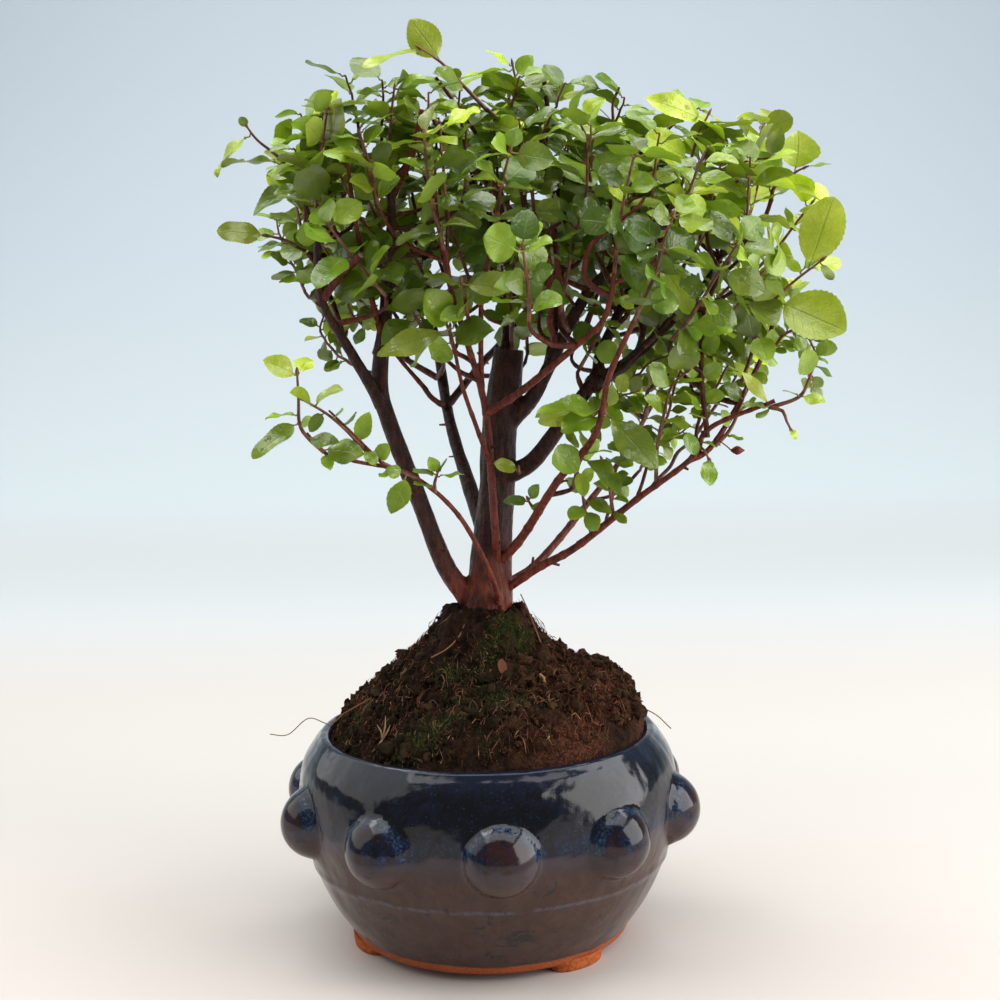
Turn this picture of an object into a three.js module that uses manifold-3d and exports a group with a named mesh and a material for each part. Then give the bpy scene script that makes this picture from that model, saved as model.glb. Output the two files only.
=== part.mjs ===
// A sweet plum bonsai in a round glazed pot with ten half-round knobs.
// Millimetres, +Z up. The lengths below are from the pot's axis on the table, with the front at -Y.
import * as THREE from "three";
import { mergeVertices } from "three/addons/utils/BufferGeometryUtils.js";
import Module from "manifold-3d";

const wasm = await Module();
wasm.setup();

// Where the pot's axis stands: the middle of the whole object's box is the origin.
const POT_AXIS = [-20, 2.5, 0];
const GAP = 0.3;

// Pot
const POT_SIDES = 30;
const POT_OUTER = [
  [42, 2.5], [46, 2.5], [47.5, 6], [53.5, 15], [58, 25], [61, 35], [63, 47], [61.5, 59],
  [57.5, 66], [55, 69],
];
const POT_RIM_INNER = [52.5, 68];
const POT_CAVITY = [[38, 9], [52, 25], [57.5, 48], [53, 64]];
const FOOT_RING_INNER = 38;
const UNDERSIDE_HEIGHT = 5;
const DRAIN_RADIUS = 6;
const KNOB_COUNT = 10;
const KNOB_RADIUS = 11;
const KNOB_CIRCLE = 59.5;
const KNOB_HEIGHT = 44.5;
const KNOB_PHASE = 3.8;
const FOOT_CIRCLE = 42;
const FOOT_HALF_LENGTH = 10;
const FOOT_HALF_WIDTH = 5;
const FOOT_HEIGHT = 4;
const FOOT_ANGLES = [40, -70, 165];

// Soil: the mound's height over its distance from the axis, and the higher crumbly edge on the right
const SOIL_SIDES = 24;
const SOIL_MOUND = [[52, 67], [47.5, 74], [41, 81], [32, 88], [22, 96.5], [13, 108.5]];
const SOIL_TOP = 110;
const SOIL_EDGE_RISE = 9;
const SOIL_EDGE_DISTANCE = 45;
const SOIL_EDGE_WIDTH = 10;
const SOIL_LUMP = 1.1;

// Trunk: centre line and radii, from the buried end to the pruned top
const TRUNK = [
  [1, 0, 84], [1, 0, 100], [1, 0, 108], [2, 0, 117], [3, 1, 131], [5, 2, 148], [6, 2, 166],
  [8, 2, 180], [10, 2, 194],
];
const TRUNK_RADII = [8.8, 9.6, 8.6, 7.6, 6.7, 6, 5.9, 5.7, 4.9];
const TRUNK_SIDES = 8;

// Limbs: the points of each centre line, the radius at its foot and at its end
const LIMBS = {
  left_limb: {
    points: [
      [-2, 0, 108], [-7, -1, 115], [-13, -3, 125], [-20, -5, 145], [-31, -8, 178], [-31, -8, 195],
    ],
    radii: [3.9, 3.1],
  },
  left_upright: {
    points: [[-31, -8, 193], [-29, -10, 207], [-28, -12, 220], [-26, -15, 236], [-26, -18, 250]],
    radii: [2.9, 1.3],
  },
  left_outer: {
    points: [
      [-31, -8, 177], [-40, -20, 195], [-47, -30, 211], [-48, -27, 233],
    ],
    radii: [2.5, 1.3],
  },
  left_outer_back: {
    points: [[-41, -20, 196], [-45, -12, 208], [-50, -4, 219], [-56, 4, 232]],
    radii: [1.4, 0.9],
  },
  back_limb: {
    points: [
      [1, 2, 134], [-4, 14, 147], [-11, 28, 170], [-15, 40, 195], [-22, 50, 232],
    ],
    radii: [3.2, 1.3],
  },
  back_limb_left: {
    points: [[-15, 34, 184], [-30, 41, 194], [-36, 44, 207], [-42, 46, 222]],
    radii: [1.6, 0.9],
  },
  back_limb_right: {
    points: [[-12, 30, 174], [0, 40, 188], [14, 48, 203], [24, 52, 221], [28, 52, 238]],
    radii: [2, 1],
  },
  sucker: {
    points: [
      [5, -3, 122], [4, -10, 139], [2, -15, 174], [-3, -26, 196], [-7, -34, 210], [-9, -38, 224],
    ],
    radii: [1.9, 1.1],
  },
  sucker_right: {
    points: [[2, -15, 174], [13, -22, 181], [30, -34, 195], [38, -40, 203], [41, -43, 216]],
    radii: [1.8, 1],
  },
  sucker_mid: {
    points: [[1, -16, 179], [1, -24, 196], [2, -34, 213], [6, -42, 228]],
    radii: [1.2, 0.9],
  },
  top_left: {
    points: [[8, 3, 186], [10, 8, 202], [12, 14, 216], [6, 20, 234], [-2, 22, 250]],
    radii: [2.6, 1.1],
  },
  right_fork: {
    points: [
      [9, 2, 170], [17, -2, 178], [22, -4, 187], [36, -4, 212], [57, -12, 231], [62, -16, 246],
    ],
    radii: [3.2, 1.2],
  },
  right_fork_inner: {
    points: [[21, -3, 184], [25, 5, 200], [27, 12, 215], [30, 16, 232], [26, 16, 250]],
    radii: [2, 1],
  },
  right_limb: {
    points: [
      [6, 1, 152], [16, -4, 157], [24, -9, 167], [37, -5, 184], [40, 0, 193], [52, 12, 218],
      [54, 16, 236],
    ],
    radii: [3.5, 1.3],
  },
  right_limb_outer: {
    points: [[36, -6, 182], [44, 0, 186], [53, 8, 192], [74, 20, 211], [82, 24, 223], [87, 26, 236]],
    radii: [2.8, 1.2],
  },
  right_limb_back: {
    points: [[52, 8, 191], [56, 22, 200], [60, 36, 212], [62, 44, 226]],
    radii: [1.6, 1],
  },
  front_limb: {
    points: [[5, -3, 124], [13, -10, 134], [24, -24, 153], [35, -36, 168], [39, -44, 186], [46, -50, 202]],
    radii: [2.2, 1],
  },
  low_shoot: {
    points: [
      [4, -1, 113], [18, -6, 123], [30, -10, 130], [49, -18, 146], [65, -26, 159], [71, -29, 169],
      [90, -33, 177],
    ],
    radii: [2.1, 0.9],
  },
  low_shoot_up: {
    points: [[64, -25, 158], [73, -24, 164], [88, -17, 188], [95, -13, 207]],
    radii: [1.3, 0.9],
  },
  low_shoot_back: {
    points: [[4, 2, 115], [18, 10, 122], [37, 26, 141], [50, 36, 156], [60, 42, 172]],
    radii: [2.1, 1],
  },
  right_thin: {
    points: [[70, -29, 166], [69, -24, 186], [71, -18, 205], [79, -13, 220]],
    radii: [1.2, 0.9],
  },
  droop: {
    points: [
      [5, -4, 108], [3, -14, 121], [-7, -26, 143], [-21, -36, 157], [-37, -42, 162], [-46, -44, 165],
      [-51, -45, 171],
    ],
    radii: [1.4, 0.9],
  },
  droop_up: {
    points: [[-28, -39, 159.5], [-36, -50, 170], [-43, -55, 178]],
    radii: [1, 0.8],
  },
};

// Leafy shoots at the ends of the limbs: how many pairs of leaves, and the leaves' length
const LIMB_END_SHOOTS = {
  left_upright: [3, 14], left_outer: [4, 13], left_outer_back: [3, 13], back_limb: [4, 14],
  back_limb_left: [3, 14], back_limb_right: [3, 14], sucker: [4, 14], sucker_right: [4, 14],
  sucker_mid: [3, 15], top_left: [3, 14], right_fork: [3, 14], right_fork_inner: [3, 14],
  right_limb: [3, 14], right_limb_outer: [4, 14], right_limb_back: [3, 14], front_limb: [4, 15],
  low_shoot: [1, 10], low_shoot_up: [2, 18], low_shoot_back: [3, 13], right_thin: [3, 14],
  droop: [2, 12], droop_up: [2, 11],
};

// Shoots with a place of their own: where each starts, where it points, its pairs of leaves and their length
const PLACED_SHOOTS = {
  crest: { seat: [1, -9, 267], toward: [-0.6, -0.3, 0.7], pairs: 2, leaf: 16 },
  left_tip: { seat: [-58, -5, 247], toward: [-0.65, -0.1, 0.55], pairs: 2, leaf: 14 },
  left_low: { seat: [-59, -8, 229], toward: [-1, -0.3, 0.05], pairs: 1, leaf: 16 },
  right_round: { seat: [94, 0, 236], toward: [0.3, -0.2, 1], pairs: 2, leaf: 14 },
  right_pale: { seat: [90, -22, 214], toward: [0.8, -0.4, 0.6], pairs: 2, leaf: 16 },
  front_hanging: { seat: [34, -38, 166], toward: [0.35, -0.9, 0.1], pairs: 2, leaf: 21 },
  front_inner: { seat: [19, -25, 150], toward: [-0.2, -0.9, 0.1], pairs: 2, leaf: 12 },
  trunk_sprig: { seat: [4, -16, 152], toward: [0.6, -0.9, 0.2], pairs: 1, leaf: 9 },
  droop_left: { seat: [-50, -46, 166], toward: [-1, -0.2, -0.15], pairs: 1, leaf: 15 },
  droop_middle: { seat: [-36, -46, 158], toward: [-0.3, -0.9, 0], pairs: 2, leaf: 11 },
  droop_right: { seat: [-15, -35, 157], toward: [0.2, -0.2, 1], pairs: 2, leaf: 9 },
  low_inner: { seat: [41, -18, 146], toward: [-0.2, -0.3, 1], pairs: 3, leaf: 10 },
  low_outer: { seat: [68, -30, 172], toward: [-0.3, -0.1, 1], pairs: 3, leaf: 12 },
};

// Crown: the middles of the leafy shoots lie between two outlines seen from the front
const CROWN_TOP = [
  [-70, 243], [-50, 255], [-20, 264], [10, 264], [45, 260], [80, 253], [100, 238], [108, 222],
];
const CROWN_BOTTOM = [
  [-70, 238], [-55, 216], [-35, 203], [-5, 197], [30, 197], [60, 190], [90, 186], [108, 205],
];
const CROWN_MIDDLE = 16;
const CROWN_HALF_WIDTH = 84;
const CROWN_HALF_DEPTH = 66;
const CROWN_ROUNDING = 16;
const CROWN_HEIGHTS = [185, 280];
const CROWN_SHOOTS = 23;
const CROWN_TRIES = 30;
const CROWN_LEAF = 14;
const CROWN_LIFT = 0.15;
const HEART = new THREE.Vector3(14, 0, 168);

// Leafy shoots
const STEM_HALF = 0.65;
const STEM_STEP = 8;
const STEM_FIRST_STEP = 0.7;
const STEM_STEPS = [0.85, 1.15];
const STEM_SWAY = [-0.15, 0.15];
const STEM_RISE = 0.12;
const STEM_TURN = [-0.2, 0.2];
const SHOOT_MIDDLE = 0.6;
const TIP_LEAF = 0.9;
const TWIG_RADII = [1.3, 1.15, 0.95];
const TWIG_BEND = 0.45;
const TWIG_START_BELOW = 8;
const TWIG_HIGH_START = 0.9;
const LEAF_THICKNESS = 0.75;
const LEAF_WIDTH = 0.74;
const LARGE_LEAF = 17.5;
const LEAF_FOLD = 0.26;
const LEAF_DROOP = 0.12;
const LEAF_WAVE = 0.03;
// The blade's left and right margins: distance along it, and distance from its midrib
const LEAF_MARGINS_LARGE = [
  [[0.2, 0.33], [0.47, 0.5], [0.78, 0.36]], [[0.24, 0.35], [0.5, 0.49], [0.81, 0.33]],
];
const LEAF_MARGINS_SMALL = [[[0.3, 0.45], [0.74, 0.4]], [[0.54, 0.5]]];
const LEAF_LEAN = [0.1, 0.9];
const LEAF_HANG = [-0.25, 0.55];
const LEAF_SWING = [-0.45, 0.45];
const LEAF_SIZES = [0.75, 1.25];
const MORE_LEAVES = 0.92;
const LIGHT_OUTWARD = 1.1;
const LIGHT_HEIGHT = 0.8;
const LIGHT_SCATTER = [-0.55, 0.55];
// How far a leaf bends, and the share of its length it keeps, until it crosses nothing
const LEAF_TRIES = [
  [0, 1], [0.35, 1], [-0.35, 1], [0.7, 0.9], [-0.7, 0.9], [0.15, 0.75], [-0.15, 0.75], [0.9, 0.7],
  [-0.9, 0.7],
];

const COLOURS = {
  pot: { color: 0x1b2438, roughness: 0.12, metalness: 0 },
  soil: { color: 0x2f1e14, roughness: 0.95, metalness: 0 },
  bark: { color: 0x46281e, roughness: 0.75, metalness: 0 },
  leaf: { color: 0x5d9a2c, roughness: 0.35, metalness: 0 },
};

const UP = new THREE.Vector3(0, 0, 1);

function vector(point) {
  return new THREE.Vector3(...point);
}

// A repeatable run of numbers from 0 to 1
function randomRun(seed) {
  let state = seed >>> 0;
  return () => {
    state = (Math.imul(state, 1664525) + 1013904223) >>> 0;
    return state / 4294967296;
  };
}

function between([low, high], random) {
  return low + (high - low) * random();
}

// A value read off a line drawn through points
function alongLine(points, x) {
  for (let i = 1; i < points.length; i += 1) {
    const [x0, y0] = points[i - 1];
    const [x1, y1] = points[i];
    if (x <= x1) return y0 + ((y1 - y0) * (x - x0)) / (x1 - x0);
  }
  return points[points.length - 1][1];
}

function solidOf(geometry) {
  const bare = new THREE.BufferGeometry();
  bare.setAttribute("position", geometry.getAttribute("position"));
  bare.setIndex(geometry.getIndex());
  const merged = mergeVertices(bare, 1e-4);
  const vertProperties = merged.getAttribute("position").array;
  const triVerts = new Uint32Array(merged.getIndex().array);
  return new wasm.Manifold(new wasm.Mesh({ numProp: 3, vertProperties, triVerts }));
}

function geometryOf(solid) {
  const { vertProperties, triVerts } = solid.getMesh();
  const geometry = new THREE.BufferGeometry();
  geometry.setAttribute("position", new THREE.BufferAttribute(vertProperties, 3));
  geometry.setIndex(new THREE.BufferAttribute(triVerts, 1));
  geometry.computeVertexNormals();
  return geometry;
}

// A surface put together point by point
class Skin {
  points = [];
  faces = [];

  add(point) {
    this.points.push(point.x, point.y, point.z);
    return this.points.length / 3 - 1;
  }

  quad(a, b, c, d) {
    this.faces.push(a, b, c, a, c, d);
  }

  // A polygon's outline, filled from its first corner
  cap(loop) {
    for (let i = 2; i < loop.length; i += 1) this.faces.push(loop[0], loop[i - 1], loop[i]);
  }

  // The wall between two loops that run the same way round
  wall(lower, upper) {
    lower.forEach((corner, i) => {
      const next = (i + 1) % lower.length;
      this.quad(corner, lower[next], upper[next], upper[i]);
    });
  }

  geometry() {
    const geometry = new THREE.BufferGeometry();
    geometry.setAttribute("position", new THREE.Float32BufferAttribute(this.points, 3));
    geometry.setIndex(this.faces);
    geometry.computeVertexNormals();
    return geometry;
  }
}

function perpendicular(direction) {
  const side = new THREE.Vector3(0.31, 0.95, 0.05);
  return side.addScaledVector(direction, -side.dot(direction)).normalize();
}

// A limb: rings of points square to the centre line, closed at both ends
function limbSolid(points, radii, sides, endDirection = null) {
  const skin = new Skin();
  const rings = [];
  let across = null;
  points.forEach((point, i) => {
    const before = points[Math.max(i - 1, 0)];
    const after = points[Math.min(i + 1, points.length - 1)];
    const along = after.clone().sub(before).normalize();
    if (endDirection && i === points.length - 1) along.copy(endDirection);
    across = across ? across.addScaledVector(along, -across.dot(along)).normalize() : perpendicular(along);
    const other = along.clone().cross(across);
    const ring = [];
    for (let k = 0; k < sides; k += 1) {
      const angle = (2 * Math.PI * k) / sides;
      const corner = point.clone();
      corner.addScaledVector(across, radii[i] * Math.cos(angle));
      corner.addScaledVector(other, radii[i] * Math.sin(angle));
      ring.push(skin.add(corner));
    }
    rings.push(ring);
  });
  skin.cap([...rings[0]].reverse());
  for (let i = 1; i < rings.length; i += 1) skin.wall(rings[i - 1], rings[i]);
  skin.cap(rings[rings.length - 1]);
  return solidOf(skin.geometry());
}

// Radii that run evenly from a limb's foot to its end
function taper(points, [foot, end]) {
  const reach = [0];
  for (let i = 1; i < points.length; i += 1) {
    reach.push(reach[i - 1] + points[i].distanceTo(points[i - 1]));
  }
  const whole = reach[reach.length - 1];
  return reach.map((length) => foot + ((end - foot) * length) / whole);
}

function limbSides(radius) {
  if (radius > 3) return 6;
  return radius > 2.2 ? 5 : 4;
}

// The pot: one fired piece
function latheSolid(profile) {
  const points = profile.map(([radius, height]) => new THREE.Vector2(radius, height));
  const geometry = new THREE.LatheGeometry(points, POT_SIDES);
  geometry.rotateX(Math.PI / 2);
  return solidOf(geometry);
}

function around(degrees, radius, height) {
  const angle = THREE.MathUtils.degToRad(degrees);
  return new THREE.Vector3(radius * Math.sin(angle), -radius * Math.cos(angle), height);
}

function knobSolid(degrees) {
  const knob = new THREE.SphereGeometry(KNOB_RADIUS, 8, 6);
  knob.rotateZ(THREE.MathUtils.degToRad(degrees));
  knob.translate(...around(degrees, KNOB_CIRCLE, KNOB_HEIGHT).toArray());
  return solidOf(knob);
}

function footSolid(degrees) {
  const foot = new THREE.CylinderGeometry(1.08, 1, FOOT_HEIGHT, 10);
  foot.rotateX(Math.PI / 2);
  foot.scale(FOOT_HALF_LENGTH, FOOT_HALF_WIDTH, 1);
  foot.rotateZ(THREE.MathUtils.degToRad(degrees));
  foot.translate(...around(degrees, FOOT_CIRCLE, FOOT_HEIGHT / 2).toArray());
  return solidOf(foot);
}

function potSolid() {
  const outside = [[0, UNDERSIDE_HEIGHT], [FOOT_RING_INNER, UNDERSIDE_HEIGHT], ...POT_OUTER, POT_RIM_INNER];
  let pot = latheSolid([...outside, [0, POT_RIM_INNER[1]]]);
  for (let i = 0; i < KNOB_COUNT; i += 1) pot = pot.add(knobSolid(KNOB_PHASE + (360 * i) / KNOB_COUNT));
  for (const degrees of FOOT_ANGLES) pot = pot.add(footSolid(degrees));
  const above = [[POT_RIM_INNER[0], POT_RIM_INNER[1] + 1], [0, POT_RIM_INNER[1] + 1]];
  pot = pot.subtract(latheSolid([[0, POT_CAVITY[0][1]], ...POT_CAVITY, POT_RIM_INNER, ...above]));
  const drain = new THREE.CylinderGeometry(DRAIN_RADIUS, DRAIN_RADIUS, 4 * UNDERSIDE_HEIGHT, 8);
  drain.rotateX(Math.PI / 2);
  return pot.subtract(solidOf(drain));
}

// The soil: it fills the pot and rises in a mound to the foot of the trunk
function soilPoint(index, radius, height) {
  const angle = (2 * Math.PI * index) / SOIL_SIDES;
  return new THREE.Vector3(radius * Math.cos(angle), radius * Math.sin(angle), height);
}

function mound(index, radius, height, random) {
  const angle = (2 * Math.PI * index) / SOIL_SIDES;
  const towardRight = Math.max(0, Math.cos(angle + 0.35));
  const edge = Math.exp(-(((radius - SOIL_EDGE_DISTANCE) / SOIL_EDGE_WIDTH) ** 2));
  const lump = SOIL_LUMP * (2 * random() - 1);
  return height + SOIL_EDGE_RISE * towardRight * edge + lump;
}

function soilSolid(trunk) {
  const skin = new Skin();
  const random = randomRun(11);
  const rings = [];
  const wall = [POT_CAVITY[0], ...POT_CAVITY.slice(2), POT_RIM_INNER];
  wall.forEach(([radius, height], level) => {
    const lift = level === 0 ? GAP : 0;
    const ring = [];
    for (let i = 0; i < SOIL_SIDES; i += 1) {
      ring.push(skin.add(soilPoint(i, radius - 2 * GAP, height + lift)));
    }
    rings.push(ring);
  });
  for (const [radius, height] of SOIL_MOUND.slice(1)) {
    const ring = [];
    for (let i = 0; i < SOIL_SIDES; i += 1) {
      ring.push(skin.add(soilPoint(i, radius, mound(i, radius, height, random))));
    }
    rings.push(ring);
  }
  const floor = skin.add(new THREE.Vector3(0, 0, POT_CAVITY[0][1] + GAP));
  const peak = skin.add(new THREE.Vector3(0, 0, SOIL_TOP));
  const first = rings[0];
  const last = rings[rings.length - 1];
  for (let i = 0; i < SOIL_SIDES; i += 1) {
    const next = (i + 1) % SOIL_SIDES;
    skin.faces.push(floor, first[next], first[i], peak, last[i], last[next]);
  }
  for (let i = 1; i < rings.length; i += 1) skin.wall(rings[i - 1], rings[i]);
  return solidOf(skin.geometry()).subtract(trunk);
}

// Places on the limbs that a twig can start from
function limbPlaces() {
  const places = [];
  for (const limb of Object.values(LIMBS)) {
    const points = limb.points.map(vector);
    for (let i = 1; i < points.length; i += 1) {
      for (let k = 0; k < 4; k += 1) places.push(points[i - 1].clone().lerp(points[i], k / 4));
    }
  }
  return places;
}

// The nearest place on a limb, a lower one rather than a higher one
function twigFoot(seat, places) {
  let best = null;
  let least = Infinity;
  for (const place of places) {
    const above = Math.max(0, place.z - seat.z + TWIG_START_BELOW);
    const cost = place.distanceTo(seat) + TWIG_HIGH_START * above;
    if (cost < least) {
      least = cost;
      best = place;
    }
  }
  return best;
}

function insideCrown(point) {
  const across = (point.x - CROWN_MIDDLE) / CROWN_HALF_WIDTH;
  const deep = point.y / CROWN_HALF_DEPTH;
  if (across * across + deep * deep > 1) return false;
  const rounding = CROWN_ROUNDING * deep * deep;
  const top = alongLine(CROWN_TOP, point.x) - rounding;
  return point.z < top && point.z > alongLine(CROWN_BOTTOM, point.x) + rounding;
}

// A shoot's length, from its seat to its last knot
function shootLength(pairs) {
  return STEM_STEP * (pairs - 0.3);
}

// Every leafy shoot: where it starts, where it points, its pairs of leaves and their length
function planShoots() {
  const shoots = [];
  for (const [limb, [pairs, leaf]] of Object.entries(LIMB_END_SHOOTS)) {
    const [before, seat] = LIMBS[limb].points.slice(-2).map(vector);
    const toward = seat.clone().sub(before).normalize();
    shoots.push({ seat, toward, pairs, leaf, onLimb: true, full: pairs > 2 });
  }
  for (const { seat, toward, pairs, leaf } of Object.values(PLACED_SHOOTS)) {
    shoots.push({ seat: vector(seat), toward: vector(toward).normalize(), pairs, leaf });
  }
  const random = randomRun(4130);
  const middleOf = ({ seat, toward, pairs }) => {
    return seat.clone().addScaledVector(toward, SHOOT_MIDDLE * shootLength(pairs));
  };
  const middles = shoots.map(middleOf);
  for (let n = 0; n < CROWN_SHOOTS; n += 1) {
    let best = null;
    let clearest = -1;
    for (let t = 0; t < CROWN_TRIES; t += 1) {
      const x = CROWN_MIDDLE + between([-CROWN_HALF_WIDTH, CROWN_HALF_WIDTH], random);
      const y = between([-CROWN_HALF_DEPTH, CROWN_HALF_DEPTH], random);
      const point = new THREE.Vector3(x, y, between(CROWN_HEIGHTS, random));
      const room = Math.min(...middles.map((middle) => middle.distanceTo(point)));
      if (insideCrown(point) && room > clearest) {
        clearest = room;
        best = point;
      }
    }
    const toward = best.clone().sub(HEART).normalize();
    toward.z += CROWN_LIFT;
    toward.normalize();
    const pairs = 3 + Math.floor(1.6 * random());
    const seat = best.clone().addScaledVector(toward, -SHOOT_MIDDLE * shootLength(pairs));
    middles.push(best);
    shoots.push({ seat, toward, pairs, leaf: CROWN_LEAF, full: true });
  }
  return shoots;
}

// A woody twig from its limb to a leafy shoot, bent so that it ends in line with the shoot
function twigSolid(shoot, places) {
  const foot = twigFoot(shoot.seat, places);
  const reach = foot.distanceTo(shoot.seat);
  const bend = shoot.seat.clone().addScaledVector(shoot.toward, -TWIG_BEND * reach);
  const curve = new THREE.QuadraticBezierCurve3(foot, bend, shoot.seat);
  return limbSolid(curve.getPoints(TWIG_RADII.length - 1), TWIG_RADII, 3, shoot.toward);
}

// One blade grown from a square of stem: base is the square's corners, anticlockwise from outside
function addBlade(skin, base, corners, leaf, thickness) {
  const { direction, normal, length } = leaf;
  const width = normal.clone().cross(direction);
  const wanted = width.clone().add(normal);
  const middle = new THREE.Vector3();
  corners.forEach((corner) => middle.addScaledVector(corner, 0.25));
  const scores = corners.map((corner) => corner.clone().sub(middle).dot(wanted));
  const turn = scores.indexOf(Math.max(...scores));
  const [leftTop, rightTop, rightLow, leftLow] = base.map((_, i) => base[(turn + i) % 4]);
  const blade = (along, across, rise) => {
    const point = middle.clone().addScaledVector(direction, along * length);
    point.addScaledVector(width, across * length * LEAF_WIDTH);
    const height = rise + LEAF_FOLD * LEAF_WIDTH * Math.abs(across) - LEAF_DROOP * along * along;
    return point.addScaledVector(normal, height * length);
  };
  const [left, right] = length >= LARGE_LEAF ? LEAF_MARGINS_LARGE : LEAF_MARGINS_SMALL;
  const outline = left.map(([along, across], i) => blade(along, across, LEAF_WAVE * (-1) ** i));
  outline.push(blade(1, 0, 0));
  [...right].reverse().forEach(([along, across], i) => {
    outline.push(blade(along, -across, LEAF_WAVE * (-1) ** i));
  });
  const up = normal.clone().multiplyScalar(thickness / 2);
  const top = outline.map((point) => skin.add(point.clone().add(up)));
  const low = outline.map((point) => skin.add(point.clone().sub(up)));
  const tip = left.length;
  skin.cap([leftTop, ...top.slice(0, tip + 1).reverse()]);
  skin.cap([rightTop, ...top.slice(tip).reverse(), leftTop]);
  skin.cap([leftLow, ...low.slice(0, tip + 1)]);
  skin.cap([rightLow, leftLow, ...low.slice(tip)]);
  const topRing = [leftTop, ...top, rightTop];
  const lowRing = [leftLow, ...low, rightLow];
  for (let i = 1; i < topRing.length; i += 1) {
    skin.quad(topRing[i - 1], topRing[i], lowRing[i], lowRing[i - 1]);
  }
}

// A blade by itself, to find what it would cross
function bladeSolid(corners, leaf, thickness) {
  const skin = new Skin();
  const base = corners.map((corner) => skin.add(corner));
  addBlade(skin, base, corners, leaf, thickness);
  skin.cap([...base].reverse());
  return solidOf(skin.geometry());
}

// The four corners of a square of stem
function stemSquare(centre, across, other) {
  return [[1, 1], [-1, 1], [-1, -1], [1, -1]].map(([a, b]) => {
    const corner = centre.clone().addScaledVector(across, a * STEM_HALF);
    return corner.addScaledVector(other, b * STEM_HALF);
  });
}

// The way a leaf points and faces: out from the stem and to one side of it, its face to the light
function leafPose(out, along, place, random) {
  const direction = out.clone().addScaledVector(along, between(LEAF_LEAN, random));
  direction.addScaledVector(UP, -between(LEAF_HANG, random));
  direction.addScaledVector(along.clone().cross(out), between(LEAF_SWING, random)).normalize();
  const light = new THREE.Vector3(place.x - HEART.x, place.y - HEART.y, 0).normalize();
  light.multiplyScalar(LIGHT_OUTWARD).addScaledVector(UP, LIGHT_HEIGHT);
  light.x += between(LIGHT_SCATTER, random);
  light.y += between(LIGHT_SCATTER, random);
  light.z += between(LIGHT_SCATTER, random);
  const normal = light.addScaledVector(direction, -light.dot(direction)).normalize();
  return { direction, normal };
}

function bent(leaf, out, turn) {
  const direction = leaf.direction.clone().addScaledVector(leaf.normal, turn).normalize();
  if (direction.dot(out) < 0.3) direction.addScaledVector(out, 0.4).normalize();
  const normal = leaf.normal.clone();
  normal.addScaledVector(direction, -normal.dot(direction)).normalize();
  return { direction, normal, length: leaf.length };
}

function crosses(solid, others) {
  const box = solid.boundingBox();
  return others.some(({ solid: other, box: room }) => {
    for (let i = 0; i < 3; i += 1) {
      if (box.min[i] > room.max[i] || box.max[i] < room.min[i]) return false;
    }
    return solid.intersect(other).volume() > 1e-5;
  });
}

function obstacle(solid) {
  return { solid, box: solid.boundingBox() };
}

// A shoot's stem: square, with a knot wherever leaves grow
function growStem(shoot, index) {
  const random = randomRun(1000 + 7919 * index);
  const skin = new Skin();
  const along = shoot.toward.clone();
  let across = perpendicular(along);
  let place = shoot.seat.clone().addScaledVector(along, GAP);
  let square = stemSquare(place, across, along.clone().cross(across));
  let loop = square.map((corner) => skin.add(corner));
  skin.cap([...loop].reverse());
  const knots = [];
  const parts = [];
  for (let k = 0; k < shoot.pairs; k += 1) {
    along.x += between(STEM_SWAY, random);
    along.y += between(STEM_SWAY, random);
    along.z += STEM_RISE;
    along.normalize();
    const step = STEM_STEP * (k === 0 ? STEM_FIRST_STEP : between(STEM_STEPS, random));
    place = place.clone().addScaledVector(along, step);
    across.applyAxisAngle(along, between(STEM_TURN, random));
    across = across.clone().addScaledVector(along, -across.dot(along)).normalize();
    const lowSquare = stemSquare(place, across, along.clone().cross(across));
    const low = lowSquare.map((corner) => skin.add(corner));
    skin.wall(loop, low);
    place = place.clone().addScaledVector(along, 2 * STEM_HALF);
    const upSquare = lowSquare.map((corner) => corner.clone().addScaledVector(along, 2 * STEM_HALF));
    const up = upSquare.map((corner) => skin.add(corner));
    parts.push(obstacle(stretchSolid(square, lowSquare)), obstacle(stretchSolid(lowSquare, upSquare)));
    knots.push({ low, up, lowSquare, upSquare, across, along: along.clone(), place });
    loop = up;
    square = upSquare;
  }
  return { shoot, index, random, skin, knots, parts };
}

// A stretch of stem between two squares
function stretchSolid(lower, upper) {
  const skin = new Skin();
  const low = lower.map((corner) => skin.add(corner));
  const high = upper.map((corner) => skin.add(corner));
  skin.cap([...low].reverse());
  skin.wall(low, high);
  skin.cap(high);
  return solidOf(skin.geometry());
}

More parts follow.
